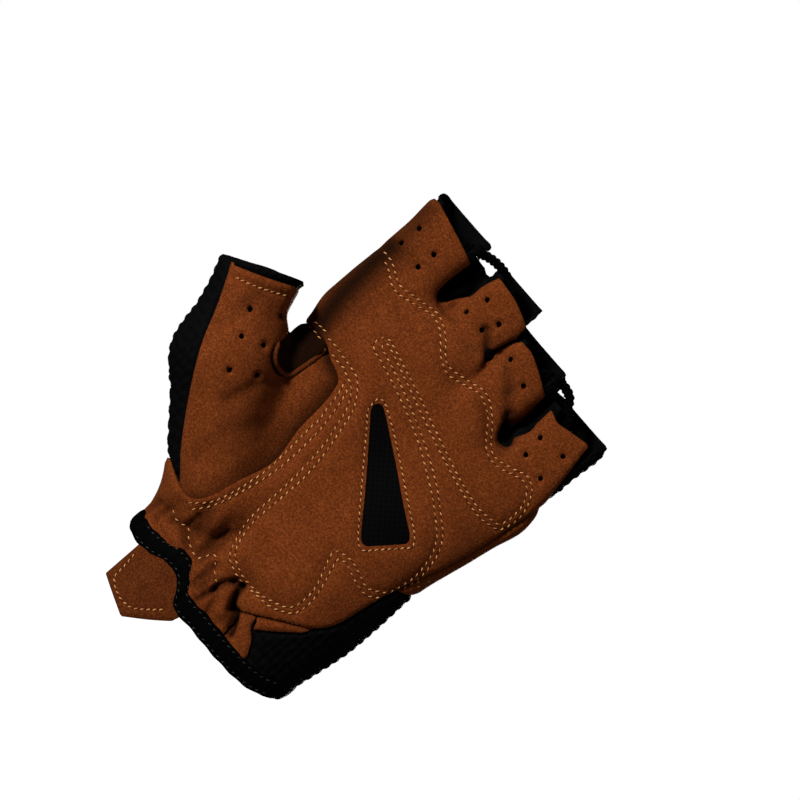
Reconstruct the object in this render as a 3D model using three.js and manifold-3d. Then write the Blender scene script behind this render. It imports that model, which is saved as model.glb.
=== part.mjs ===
// Half-finger cycling glove for the left hand, in the form that it has when worn, palm towards -Y.
// Millimetres, +Z along the fingers, +X towards the little finger, origin at the middle of the cuff.
// The glove is a thin wall on a rounded hand form. Outlines drawn on the palm cut the wall into panels.
import * as THREE from "three";
import { mergeVertices } from "three/addons/utils/BufferGeometryUtils.js";
import Module from "manifold-3d";

const wasm = await Module();
wasm.setup();

// Driving sizes
const PALM_WIDTH = 92; // across the knuckles, index side to little-finger side
const HAND_LENGTH = 133; // cuff to the top of the index finger's tab
const PALM_DEPTH = 30; // palm to back at the knuckles
const WALL = 1.8; // suede and knit wall
const SEAM_GAP = 0.3; // clearance between neighbouring pieces
const RIM_RISE = 4.5; // how far the knit back stands above the suede tabs
const HOLE_DIAMETER = 1.4; // punched breathing holes
const VENT_RECESS = 0.6; // how far the vent lies below the suede
const PIPING_DIAMETER = 1.6; // rolled edge at the thumb crotch
const BINDING_HEIGHT = 5.8; // cuff tape, seen from the palm
const BINDING_THICKNESS = 3.2; // cuff tape, folded round the edge
const PULL_TAB_THICKNESS = 1.6;
const PULL_TAB_LENGTH = 21.3; // below the middle of the cuff
const CORD_DIAMETER = 2.8; // braided cords between the fingers
const CORD_CLEARANCE = 0.5; // from a cord to the wall that it lies against
const SURFACE_STEP = 6.4; // spacing of the faces on the hand form
const RING_SIDES = 14; // faces round each finger
const CUFF_STEPS = 44; // faces round the cuff
const TAPE_SIDES = 8; // faces round the folded tape, and round each cord
const TAPE_ROUNDING = { out: 0.7, up: 0.5 }; // of the folded tape: 1 is an ellipse, less is boxier
const HOLE_SIDES = 6; // faces round a punched hole
const SLOPE_STEP = 0.2; // distance over which a form's slope is measured
const LEAST_SLOPE = 0.2; // squared slope below which a form counts as flat
const SNAP = 0.002; // points closer than this become one
const CRUMB = 8; // cubic millimetres, below which a cut-off scrap is dropped

// Hand form: sections across the hand. along is a share of HAND_LENGTH, left and right are shares of
// PALM_WIDTH, and palm and back are shares of PALM_DEPTH.
const SECTIONS = [
  { along: -0.14, left: -0.378, right: 0.36, palm: 0.65, back: 0.7 },
  { along: 0.0, left: -0.387, right: 0.383, palm: 0.667, back: 0.7 },
  { along: 0.083, left: -0.396, right: 0.402, palm: 0.733, back: 0.683 },
  { along: 0.165, left: -0.402, right: 0.418, palm: 0.82, back: 0.65 },
  { along: 0.256, left: -0.408, right: 0.42, palm: 0.82, back: 0.617 },
  { along: 0.376, left: -0.424, right: 0.419, palm: 0.68, back: 0.583 },
  { along: 0.526, left: -0.484, right: 0.457, palm: 0.54, back: 0.567 },
  { along: 0.662, left: -0.502, right: 0.489, palm: 0.483, back: 0.55 },
  { along: 0.752, left: -0.503, right: 0.5, palm: 0.45, back: 0.47 },
  { along: 0.9, left: -0.503, right: 0.495, palm: 0.41, back: 0.33 },
];
const SQUARENESS = 2.5; // of each section: 2 is an ellipse, more is a rounded box

// Thumb: joints down its middle. width is its half width as a share of PALM_WIDTH.
const THUMB = [
  { across: -0.293, depth: -0.4, along: 0.18, width: 0.152 },
  { across: -0.587, depth: -0.45, along: 0.398, width: 0.174 },
  { across: -0.723, depth: -0.5, along: 0.594, width: 0.136 },
  { across: -0.815, depth: -0.53, along: 0.735, width: 0.125 },
];
const THUMB_BLEND = 0.36; // rounding where the thumb meets the palm, a share of PALM_DEPTH

// Height of the webs between the fingers, from the index side to the little-finger side.
const WEBS = [
  { across: -0.5, along: 0.8 },
  { across: -0.287, along: 0.85 },
  { across: -0.01, along: 0.825 },
  { across: 0.216, along: 0.765 },
  { across: 0.5, along: 0.7 },
];
const KNUCKLE_ROUNDING = 0.3; // where the palm ends between the fingers, a share of PALM_DEPTH

// Fingers: middle line and half width are shares of PALM_WIDTH, foot and opening of HAND_LENGTH, and
// how far the middle line lies towards the palm at the foot, and leans further, of PALM_DEPTH.
const FINGERS = [
  { name: "index", across: -0.397, width: 0.109, foot: 0.64, top: 1.0, sink: 0.05, lean: -0.16 },
  { name: "middle", across: -0.104, width: 0.11, foot: 0.64, top: 0.99, sink: 0.0, lean: -0.12 },
  { name: "ring", across: 0.101, width: 0.104, foot: 0.62, top: 0.935, sink: -0.01, lean: -0.11 },
  { name: "little", across: 0.355, width: 0.12, foot: 0.6, top: 0.895, sink: 0.04, lean: -0.15 },
];
// Places between the fingers where one sleeve ends and the next begins, and beyond both sides.
const SLEEVE_LIMITS = [-0.7, -0.28, -0.0105, 0.2185, 0.7];
const FINGER_SPARE = 0.16; // how far the finger forms run past their openings before the cut
const FINGER_TAPER = 0.06; // narrowing of a finger along its form
const TAB_SHARE = 1.15; // width of a tab's free end, a share of its finger's
const TAB_HEIGHT = 0.1; // height of that free end, a share of HAND_LENGTH
const SLEEVE_FOOT = 0.075; // how far below the webs a knit sleeve starts, a share of HAND_LENGTH

// Dents and folds in the palm side: a valley from one place to another. depth and reach are shares
// of PALM_DEPTH, and reach is the valley's half width.
const FOLDS = [
  { name: "palm hollow", x0: -0.1, z0: 0.2, x1: 0.0, z1: 0.56, depth: 0.1, reach: 0.5 },
  { name: "beside the thumb seam", x0: -0.3, z0: 0.56, x1: -0.26, z1: 0.36, depth: 0.08, reach: 0.24 },
  { name: "wrist gather", x0: -0.2, z0: 0.07, x1: -0.13, z1: 0.17, depth: 0.06, reach: 0.17 },
  { name: "cuff gather", x0: -0.31, z0: 0.045, x1: -0.31, z1: 0.1, depth: 0.04, reach: 0.17 },
  { name: "wrist tuck", x0: 0.06, z0: 0.0, x1: 0.017, z1: 0.09, depth: 0.08, reach: 0.18 },
  { name: "middle crease", x0: -0.02, z0: 0.76, x1: -0.02, z1: 0.84, depth: 0.08, reach: 0.17 },
  { name: "ring crease", x0: 0.07, z0: 0.88, x1: 0.19, z1: 0.74, depth: 0.08, reach: 0.17 },
  { name: "thumb crease", x0: -0.7, z0: 0.47, x1: -0.6, z1: 0.54, depth: 0.04, reach: 0.18 },
];

// Outlines on the palm, as seen from it: across is a share of PALM_WIDTH and along of HAND_LENGTH.
// They pass beyond the glove's own edge where a panel wraps round the side.
const PALM_OUTLINE = [
  [-0.53, 0.59], [-0.515, 0.59], [-0.428, 0.6], [-0.357, 0.579], [-0.29, 0.565], [-0.274, 0.537],
  [-0.262, 0.491], [-0.252, 0.418], [-0.226, 0.327], [-0.254, 0.234], [-0.272, 0.178], [-0.311, 0.135],
  [-0.366, 0.132], [-0.6, 0.132],
  [-0.6, -0.2], [0.06, -0.2], [0.06, 0.04], [0.094, 0.068],
  [0.141, 0.084], [0.211, 0.118], [0.261, 0.145], [0.311, 0.206], [0.336, 0.281], [0.366, 0.354],
  [0.385, 0.4], [0.423, 0.497], [0.442, 0.573], [0.458, 0.652], [0.471, 0.733],
  [0.442, 0.817], [0.417, 0.894], [0.336, 0.881], [0.289, 0.874], [0.245, 0.882], [0.251, 0.808],
  [0.22, 0.769], [0.208, 0.785], [0.206, 0.893], [0.156, 0.908], [0.11, 0.922], [0.014, 0.938],
  [-0.004, 0.886], [-0.004, 0.842], [-0.016, 0.83], [-0.021, 0.859], [-0.01, 0.963], [-0.06, 0.975],
  [-0.197, 0.991], [-0.212, 0.951], [-0.225, 0.9], [-0.274, 0.854], [-0.289, 0.87], [-0.291, 0.964],
  [-0.517, 1.0], [-0.6, 1.01], [-0.6, 0.74],
];
const THUMB_OUTLINE = [
  [-0.797, 0.55], [-0.74, 0.481], [-0.665, 0.385], [-0.568, 0.287], [-0.474, 0.206], [-0.4, 0.138],
  [-0.366, 0.12], [-0.26, 0.12], [-0.2, 0.3], [-0.2, 0.59], [-0.52, 0.6], [-0.54, 0.66],
  [-0.587, 0.634],
];
const GUSSET_OUTLINE = [
  [-0.53, 0.586], [-0.512, 0.54], [-0.5, 0.49], [-0.45, 0.465], [-0.41, 0.475], [-0.395, 0.515],
  [-0.402, 0.586], [-0.428, 0.596],
];
const SIDE_STRIP_OUTLINE = [
  [0.36, 0.4], [0.37, 0.35], [0.46, 0.39], [0.56, 0.42], [0.56, 0.74], [0.471, 0.728],
];
const HEEL_STRIP_OUTLINE = [
  [0.098, 0.068], [0.134, 0.058], [0.178, 0.085], [0.235, 0.116], [0.211, 0.122],
];
const WRIST_FLAP_OUTLINE = [
  [0.064, 0.036], [0.064, -0.2], [0.2, -0.2], [0.199, -0.004], [0.13, 0.054], [0.094, 0.064],
];
const VENT_OUTLINE = [
  [-0.149, 0.59], [-0.147, 0.568], [0.143, 0.374], [0.177, 0.364], [0.192, 0.368], [0.264, 0.43],
  [0.267, 0.444], [0.252, 0.456], [-0.12, 0.593], [-0.138, 0.6],
];
const CROTCH_PIPING_ROUTE = [
  [-0.505, 0.52], [-0.497, 0.496], [-0.456, 0.474], [-0.41, 0.478], [-0.394, 0.513], [-0.398, 0.57],
];
// Line between the thumb's knit back and the hand's.
const THUMB_BACK_OUTLINE = [
  [-0.4, 0.11], [-0.405, 0.3], [-0.47, 0.46], [-0.515, 0.54], [-0.58, 0.8], [-1.2, 0.8], [-1.2, 0.11],
];
// The thumb's opening, cut square to its middle line.
const THUMB_TOP = [
  [-0.9, 0.522], [-0.54, 0.665],
];
// In front of the thumb's knit rim, where the suede's free end stands.
const THUMB_FRONT = [
  [-0.78, 0.555], [-0.55, 0.62], [-0.53, 0.9], [-0.9, 0.9],
];
const HOLES = [
  [-0.494, 0.927], [-0.497, 0.875], [-0.393, 0.913], [-0.398, 0.868], [-0.167, 0.937], [-0.185, 0.884],
  [-0.079, 0.92], [-0.103, 0.883], [0.03, 0.888], [0.127, 0.871], [0.29, 0.822], [0.302, 0.772],
  [0.387, 0.833], [0.394, 0.762],
];
const THUMB_HOLES = [
  [-0.646, 0.518], [-0.563, 0.562], [-0.598, 0.465], [-0.528, 0.489], [-0.539, 0.394], [-0.468, 0.433],
];

// How far round the side each suede panel reaches, measured from the hand's middle, as a share of PALM_DEPTH.
const PALM_REACH = 0.02;
const STRIP_REACH = 0.2;
const THUMB_REACH = -0.2;
const VENT_REACH = -0.2;
const HOLE_REACH = -0.02;

// Cuff tape: height of its middle on the palm side, as shares of PALM_WIDTH and HAND_LENGTH.
const CUFF_WAVE = [
  { across: -0.4, along: 0.008 },
  { across: -0.33, along: -0.002 },
  { across: -0.27, along: 0.004 },
  { across: -0.21, along: 0.02 },
  { across: -0.16, along: 0.021 },
  { across: -0.12, along: 0.002 },
  { across: -0.08, along: -0.032 },
  { across: 0.0, along: -0.034 },
  { across: 0.16, along: -0.036 },
  { across: 0.28, along: -0.028 },
  { across: 0.4, along: 0.008 },
];
const CUFF_LOWEST = -0.06; // nothing but the tape and the tab reaches below this
const CUFF_BACK = 0.008; // the same height on the back of the hand
const CUFF_TURN = { from: -0.1, to: 0.3 }; // depths over which the palm side's wave begins
const CUFF_DROP = 0.3; // how far down the space under the tape is cleared, a share of HAND_LENGTH
const CUFF_SIDES = 0.6; // how far to each side, a share of PALM_WIDTH

// Suede tab under the cuff: across is a share of PALM_WIDTH, down of PULL_TAB_LENGTH. Its upper
// edge follows the tape between the first and the last of these places.
const PULL_TAB_OUTLINE = [
  { across: -0.31, down: 0.79 },
  { across: -0.172, down: 1 },
  { across: -0.104, down: 0.737 },
  { across: -0.05, down: 0.5 },
];

// Cords that bridge the finger gaps. Each end lies against the inside of a tab: side is its place
// across the finger, a share of the finger's inner half width, and low and high are how deep it
// starts and where it leaves, shares of HAND_LENGTH. The bridge's across and along are shares of
// PALM_WIDTH and HAND_LENGTH, and depth of PALM_DEPTH.
const CORDS = [
  {
    name: "index_cord",
    start: { finger: "index", side: 0.52, low: 0.94, high: 0.975 },
    bridge: [
      { across: -0.3, depth: -0.21, along: 0.997 },
      { across: -0.245, depth: -0.2, along: 1.01 },
      { across: -0.187, depth: -0.22, along: 1.008 },
    ],
    end: { finger: "middle", side: -0.43, low: 0.95, high: 0.989 },
  },
  {
    name: "little_cord",
    start: { finger: "ring", side: 0.55, low: 0.89, high: 0.925 },
    bridge: [
      { across: 0.195, depth: -0.2, along: 0.941 },
      { across: 0.25, depth: -0.19, along: 0.937 },
      { across: 0.286, depth: -0.22, along: 0.911 },
    ],
    end: { finger: "little", side: -0.42, low: 0.852, high: 0.884 },
  },
];

const SUEDE = { color: 0x7a431c, roughness: 0.9, metalness: 0 };
const KNIT = { color: 0x111113, roughness: 0.95, metalness: 0 };
const TAPE = { color: 0x17181b, roughness: 0.7, metalness: 0 };

const FAR = PALM_WIDTH; // beyond the glove in any direction

// Placing shares
const place = ([across, along]) => new THREE.Vector2(across * PALM_WIDTH, along * HAND_LENGTH);

const smoothMin = (a, b, k) => {
  const h = Math.max(k - Math.abs(a - b), 0) / k;
  return Math.min(a, b) - (h * h * k) / 4;
};
const smoothMax = (a, b, k) => -smoothMin(-a, -b, k);

// Value of one column of a table at a share, with smooth joins between its rows.
function readTable(rows, key, column, at) {
  if (at <= rows[0][key]) return rows[0][column];
  for (let i = 1; i < rows.length; i++) {
    if (at <= rows[i][key]) {
      const t = (at - rows[i - 1][key]) / (rows[i][key] - rows[i - 1][key]);
      const before = rows[Math.max(i - 2, 0)];
      const after = rows[Math.min(i + 1, rows.length - 1)];
      const span = rows[i][key] - rows[i - 1][key];
      const p0 = rows[i - 1][column];
      const p1 = rows[i][column];
      const m0 = ((p1 - before[column]) / (rows[i][key] - before[key])) * span;
      const m1 = ((after[column] - p0) / (after[key] - rows[i - 1][key])) * span;
      const t2 = t * t;
      const t3 = t2 * t;
      return p0 * (2 * t3 - 3 * t2 + 1) + m0 * (t3 - 2 * t2 + t) + p1 * (3 * t2 - 2 * t3) + m1 * (t3 - t2);
    }
  }
  return rows.at(-1)[column];
}

// Distance from a point to a cone with round ends.
function coneDistance(p, a, b, radiusA, radiusB) {
  const along = new THREE.Vector3().subVectors(b, a);
  const t = THREE.MathUtils.clamp(
    new THREE.Vector3().subVectors(p, a).dot(along) / along.lengthSq(),
    0,
    1,
  );
  return p.distanceTo(a.clone().addScaledVector(along, t)) - (radiusA + (radiusB - radiusA) * t);
}

const thumbJoints = THUMB.map((row) => ({
  at: new THREE.Vector3(row.across * PALM_WIDTH, row.depth * PALM_DEPTH, row.along * HAND_LENGTH),
  radius: row.width * PALM_WIDTH,
}));

// Palm and back without the thumb, as sections across the hand.
function palmDistance(p) {
  const along = p.z / HAND_LENGTH;
  const left = readTable(SECTIONS, "along", "left", along) * PALM_WIDTH;
  const right = readTable(SECTIONS, "along", "right", along) * PALM_WIDTH;
  const column = p.y < 0 ? "palm" : "back";
  const halfDepth = readTable(SECTIONS, "along", column, along) * PALM_DEPTH;
  const halfWidth = (right - left) / 2;
  const u = Math.abs(p.x - (left + right) / 2) / halfWidth;
  const v = Math.abs(p.y) / halfDepth;
  const sum = u ** SQUARENESS + v ** SQUARENESS + 1e-9;
  const size = sum ** (1 / SQUARENESS);
  const slopeU = (u / size) ** (SQUARENESS - 1) / halfWidth;
  const slopeV = (v / size) ** (SQUARENESS - 1) / halfDepth;
  const shell = (size - 1) / Math.max(Math.hypot(slopeU, slopeV), 0.5 / halfWidth);
  const web = readTable(WEBS, "across", "along", p.x / PALM_WIDTH) * HAND_LENGTH;
  const top = p.z - web;
  const bottom = SECTIONS[0].along * HAND_LENGTH - p.z;
  return Math.max(smoothMax(shell, top, KNUCKLE_ROUNDING * PALM_DEPTH), bottom);
}

// Depth of the folds and dents at a place on the palm side.
function foldDepth(p) {
  let depth = 0;
  for (const fold of FOLDS) {
    const a = place([fold.x0, fold.z0]);
    const b = place([fold.x1, fold.z1]);
    const line = b.clone().sub(a);
    const from = new THREE.Vector2(p.x, p.z).sub(a);
    const t = THREE.MathUtils.clamp(from.dot(line) / line.lengthSq(), 0, 1);
    const away = from.distanceTo(line.multiplyScalar(t)) / (fold.reach * PALM_DEPTH);
    depth += fold.depth * PALM_DEPTH * Math.exp(-away * away);
  }
  return depth;
}

// The whole hand form without its fingers: below zero inside.
function handDistance(p) {
  let thumb = Infinity;
  for (let i = 1; i < thumbJoints.length; i++) {
    const a = thumbJoints[i - 1];
    const b = thumbJoints[i];
    thumb = smoothMin(thumb, coneDistance(p, a.at, b.at, a.radius, b.radius), 2);
  }
  const hand = smoothMin(palmDistance(p), thumb, THUMB_BLEND * PALM_DEPTH);
  const front = THREE.MathUtils.smoothstep(-p.y, 0, PALM_DEPTH / 3);
  return hand + foldDepth(p) * front;
}

// Closed surface where a field is zero: one point in each crossed cell of a grid, joined to its
// neighbours, then drawn onto the surface.
function surfaceOf(field, low, high, step) {
  const size = new THREE.Vector3().subVectors(high, low);
  const count = ["x", "y", "z"].map((axis) => Math.ceil(size[axis] / step) + 1);
  const [nx, ny, nz] = count;
  const index = (i, j, k) => (k * ny + j) * nx + i;
  const point = (i, j, k) => new THREE.Vector3(low.x + i * step, low.y + j * step, low.z + k * step);
  const values = new Float64Array(nx * ny * nz);
  for (let k = 0; k < nz; k++)
    for (let j = 0; j < ny; j++)
      for (let i = 0; i < nx; i++) values[index(i, j, k)] = field(point(i, j, k));

  const corners = [0, 1, 2, 3, 4, 5, 6, 7].map((c) => [c & 1, (c >> 1) & 1, (c >> 2) & 1]);
  const vertexOf = new Map();
  const positions = [];
  for (let k = 0; k < nz - 1; k++)
    for (let j = 0; j < ny - 1; j++)
      for (let i = 0; i < nx - 1; i++) {
        const inside = corners.filter(([a, b, c]) => values[index(i + a, j + b, k + c)] < 0).length;
        if (inside === 0 || inside === 8) continue;
        const middle = new THREE.Vector3();
        let crossings = 0;
        for (const [a, b, c] of corners)
          for (const [da, db, dc] of [[1, 0, 0], [0, 1, 0], [0, 0, 1]]) {
            if (a + da > 1 || b + db > 1 || c + dc > 1) continue;
            const v0 = values[index(i + a, j + b, k + c)];
            const v1 = values[index(i + a + da, j + b + db, k + c + dc)];
            if (v0 < 0 === v1 < 0) continue;
            const t = v0 / (v0 - v1);
            middle.add(point(i + a + da * t, j + b + db * t, k + c + dc * t));
            crossings++;
          }
        vertexOf.set(index(i, j, k), positions.length / 3);
        const settled = settle(field, middle.divideScalar(crossings), step);
        positions.push(settled.x, settled.y, settled.z);
      }

  const faces = [];
  const axes = [[1, 0, 0], [0, 1, 0], [0, 0, 1]];
  for (let k = 1; k < nz - 1; k++)
    for (let j = 1; j < ny - 1; j++)
      for (let i = 1; i < nx - 1; i++)
        axes.forEach(([di, dj, dk], axis) => {
          const v0 = values[index(i, j, k)];
          const v1 = values[index(i + di, j + dj, k + dk)];
          if (v0 < 0 === v1 < 0) return;
          const [ai, aj, ak] = axes[(axis + 1) % 3];
          const [bi, bj, bk] = axes[(axis + 2) % 3];
          const ring = [
            vertexOf.get(index(i - ai - bi, j - aj - bj, k - ak - bk)),
            vertexOf.get(index(i - bi, j - bj, k - bk)),
            vertexOf.get(index(i, j, k)),
            vertexOf.get(index(i - ai, j - aj, k - ak)),
          ];
          if (v0 >= 0) ring.reverse();
          faces.push(ring[0], ring[1], ring[2], ring[0], ring[2], ring[3]);
        });
  const geometry = new THREE.BufferGeometry();
  geometry.setAttribute("position", new THREE.Float32BufferAttribute(positions, 3));
  geometry.setIndex(faces);
  return geometry;
}

function slopeAt(field, p) {
  const step = (axis) => {
    const ahead = p.clone();
    const behind = p.clone();
    ahead[axis] += SLOPE_STEP;
    behind[axis] -= SLOPE_STEP;
    return (field(ahead) - field(behind)) / (2 * SLOPE_STEP);
  };
  return new THREE.Vector3(step("x"), step("y"), step("z"));
}

// Moves a point onto a field's zero surface, by half a cell at most.
function settle(field, p, step) {
  const at = p.clone();
  for (let pass = 0; pass < 3; pass++) {
    const slope = slopeAt(field, at);
    const move = -field(at) / Math.max(slope.lengthSq(), LEAST_SLOPE);
    at.addScaledVector(slope, move);
  }
  const moved = at.clone().sub(p).clampLength(0, step / 2);
  return p.clone().add(moved);
}

// The hand form's surface with each point moved inwards, so that the wall is even.
function insetOf(skin, inset) {
  const inner = skin.clone();
  const positions = inner.getAttribute("position");
  const p = new THREE.Vector3();
  for (let i = 0; i < positions.count; i++) {
    p.fromBufferAttribute(positions, i);
    p.addScaledVector(slopeAt(handDistance, p).normalize(), -inset);
    positions.setXYZ(i, p.x, p.y, p.z);
  }
  return inner;
}

// A closed surface through rings of points. A looped one joins its last ring to its first.
function loft(rings, looped = false) {
  const sides = rings[0].length;
  const positions = rings.flat().flatMap((p) => [p.x, p.y, p.z]);
  const faces = [];
  const spans = looped ? rings.length : rings.length - 1;
  for (let r = 0; r < spans; r++)
    for (let s = 0; s < sides; s++) {
      const a = r * sides + s;
      const b = r * sides + ((s + 1) % sides);
      const c = ((r + 1) % rings.length) * sides + ((s + 1) % sides);
      const d = ((r + 1) % rings.length) * sides + s;
      faces.push(a, b, c, a, c, d);
    }
  if (!looped)
    [0, rings.length - 1].forEach((r, end) => {
      const middle = new THREE.Vector3();
      rings[r].forEach((p) => middle.addScaledVector(p, 1 / sides));
      const tip = positions.length / 3;
      positions.push(middle.x, middle.y, middle.z);
      for (let s = 0; s < sides; s++) {
        const pair = [r * sides + s, r * sides + ((s + 1) % sides)];
        if (end === 0) pair.reverse();
        faces.push(tip, pair[0], pair[1]);
      }
    });
  const geometry = new THREE.BufferGeometry();
  geometry.setAttribute("position", new THREE.Float32BufferAttribute(positions, 3));
  geometry.setIndex(faces);
  return geometry;
}

// Leaves out the crumbs that crossing outlines can cut off.
function withoutCrumbs(piece) {
  const bodies = piece.decompose().filter((body) => body.volume() > CRUMB);
  return bodies.reduce((all, body) => all.add(body));
}

// Middle and radius of a finger's wall at a height, inset from its outside.
function fingerAt(finger, along, inset) {
  const t = (along - finger.foot) / (finger.top + FINGER_SPARE - finger.foot);
  return {
    x: finger.across * PALM_WIDTH,
    y: (finger.sink + finger.lean * t) * PALM_DEPTH,
    z: along * HAND_LENGTH,
    radius: (finger.width * PALM_WIDTH - inset) * (1 - FINGER_TAPER * t),
  };
}

// A finger's outside, or its inside when inset by the wall
function fingerForm(finger, inset) {
  const rings = [finger.foot, finger.top + FINGER_SPARE].map((along) => {
    const { x, y, z, radius } = fingerAt(finger, along, inset);
    const ring = [];
    for (let s = 0; s < RING_SIDES; s++) {
      const angle = (s / RING_SIDES) * 2 * Math.PI;
      ring.push(new THREE.Vector3(x - Math.cos(angle) * radius, y - Math.sin(angle) * radius, z));
    }
    return ring;
  });
  return loft(rings);
}

// Turns a closed geometry into a solid that can be cut.
function solid(geometry) {
  const bare = geometry.clone();
  bare.deleteAttribute("normal");
  bare.deleteAttribute("uv");
  const merged = mergeVertices(bare, 1e-4);
  return new wasm.Manifold(
    new wasm.Mesh({
      numProp: 3,
      vertProperties: merged.attributes.position.array,
      triVerts: new Uint32Array(merged.index.array),
    }),
  );
}

// Moves each side of an outline outwards, or inwards where grow is below zero.
function offsetOutline(points, grow) {
  const sign = THREE.ShapeUtils.isClockWise(points) ? -1 : 1;
  return points.map((point, i) => {
    const before = points.at(i - 1);
    const after = points[(i + 1) % points.length];
    const d0 = point.clone().sub(before).normalize();
    const d1 = after.clone().sub(point).normalize();
    const n0 = new THREE.Vector2(d0.y, -d0.x).multiplyScalar(sign);
    const n1 = new THREE.Vector2(d1.y, -d1.x).multiplyScalar(sign);
    const middle = n0.clone().add(n1);
    const stretch = grow / Math.max((1 + n0.dot(n1)) / 2, 0.3);
    return point.clone().addScaledVector(middle, stretch / 2);
  });
}

// A solid through the glove with an outline seen from the palm, between two depths.
function prism(points, fromY = -FAR, toY = FAR) {
  const shape = new THREE.Shape(points);
  const geometry = new THREE.ExtrudeGeometry(shape, { depth: toY - fromY, bevelEnabled: false });
  geometry.rotateX(Math.PI / 2);
  geometry.translate(0, toY, 0);
  return solid(geometry);
}

const outlinePrism = (rows, grow, reach) =>
  prism(offsetOutline(rows.map(place), grow), -FAR, reach * PALM_DEPTH + grow);

// A place on the palm side of the hand form, and which way it faces there.
function palmSurface(x, z) {
  const p = new THREE.Vector3(x, -PALM_DEPTH * 1.6, z);
  for (let pass = 0; pass < 60; pass++) {
    const gap = handDistance(p);
    if (gap < 0.02) break;
    p.y += Math.max(gap * 0.7, 0.02);
  }
  return { at: p, facing: slopeAt(handDistance, p).normalize() };
}

const group = new THREE.Group();
group.name = "cycling_glove";

// A cut solid as a geometry, with points closer than SNAP drawn together and the flat faces that
// this leaves taken out.
function geometryOf(cut) {
  const mesh = withoutCrumbs(cut).getMesh();
  const numberOf = new Map();
  const positions = [];
  const renumber = [];
  for (let v = 0; v < mesh.numVert; v++) {
    const at = [0, 1, 2].map((axis) => {
      return Math.round(mesh.vertProperties[v * mesh.numProp + axis] / SNAP);
    });
    const key = at.join(" ");
    if (!numberOf.has(key)) {
      numberOf.set(key, positions.length / 3);
      positions.push(...at.map((value) => value * SNAP));
    }
    renumber.push(numberOf.get(key));
  }
  const faces = new Map();
  for (let t = 0; t < mesh.triVerts.length; t += 3) {
    const [a, b, c] = [0, 1, 2].map((k) => renumber[mesh.triVerts[t + k]]);
    if (a === b || b === c || a === c) continue;
    const key = [a, b, c].sort((p, q) => p - q).join(" ");
    if (faces.has(key)) faces.delete(key);
    else faces.set(key, [a, b, c]);
  }
  const geometry = new THREE.BufferGeometry();
  geometry.setAttribute("position", new THREE.Float32BufferAttribute(positions, 3));
  geometry.setIndex([...faces.values()].flat());
  return geometry;
}

function addPiece(name, material, made) {
  const geometry = made.isBufferGeometry ? made : geometryOf(made);
  const piece = new THREE.Mesh(geometry, new THREE.MeshStandardMaterial(material));
  piece.name = name;
  group.add(piece);
}

// The wall of the whole glove, open at the cuff, the fingers and the thumb
function gloveWall() {
  const low = new THREE.Vector3(-1.06 * PALM_WIDTH, -1.45 * PALM_DEPTH, -0.22 * HAND_LENGTH);
  const high = new THREE.Vector3(0.57 * PALM_WIDTH, 0.9 * PALM_DEPTH, 0.92 * HAND_LENGTH);
  const skin = surfaceOf(handDistance, low, high, SURFACE_STEP);
  let outside = solid(skin);
  let inside = solid(insetOf(skin, WALL));
  for (const finger of FINGERS) {
    outside = outside.add(solid(fingerForm(finger, 0)));
    inside = inside.add(solid(fingerForm(finger, WALL)));
  }
  return outside.subtract(inside);
}

// Space above the fingers' and the thumb's openings
function openings(rise) {
  let above = null;
  FINGERS.forEach((finger, i) => {
    const edge = finger.top * HAND_LENGTH + rise;
    const from = SLEEVE_LIMITS[i] * PALM_WIDTH - SEAM_GAP / 2;
    const to = SLEEVE_LIMITS[i + 1] * PALM_WIDTH + SEAM_GAP / 2;
    const column = [
      new THREE.Vector2(from, edge),
      new THREE.Vector2(to, edge),
      new THREE.Vector2(to, edge + FAR),
      new THREE.Vector2(from, edge + FAR),
    ];
    const cut = prism(column);
    above = above ? above.add(cut) : cut;
  });
  const [a, b] = THUMB_TOP.map(place);
  const up = new THREE.Vector2(a.y - b.y, b.x - a.x).normalize();
  const shifted = [a, b].map((p) => p.clone().addScaledVector(up, rise));
  const corners = [...shifted, shifted[1].clone().addScaledVector(up, FAR / 3)];
  corners.push(shifted[0].clone().addScaledVector(up, FAR / 3));
  return above.add(prism(corners));
}

// Height of the middle of the cuff tape at a place on the wrist's outline.
function cuffHeight(x, y) {
  const wave = readTable(CUFF_WAVE, "across", "along", x / PALM_WIDTH);
  const front = THREE.MathUtils.smoothstep(-y, CUFF_TURN.from * PALM_DEPTH, CUFF_TURN.to * PALM_DEPTH);
  return (CUFF_BACK + (wave - CUFF_BACK) * front) * HAND_LENGTH;
}

// A value raised to a power, with its sign kept
const rounded = (value, power) => Math.sign(value) * Math.abs(value) ** power;

// Outline of the wrist, moved outwards by grow.
function wristOutline(angle, grow) {
  const row = SECTIONS[1];
  const halfWidth = ((row.right - row.left) / 2) * PALM_WIDTH + grow;
  const middle = ((row.right + row.left) / 2) * PALM_WIDTH;
  const c = Math.cos(angle);
  const s = Math.sin(angle);
  const depth = (s < 0 ? row.palm : row.back) * PALM_DEPTH + grow;
  const power = 2 / SQUARENESS;
  return new THREE.Vector2(
    middle + rounded(c, power) * halfWidth,
    rounded(s, power) * depth,
  );
}

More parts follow.
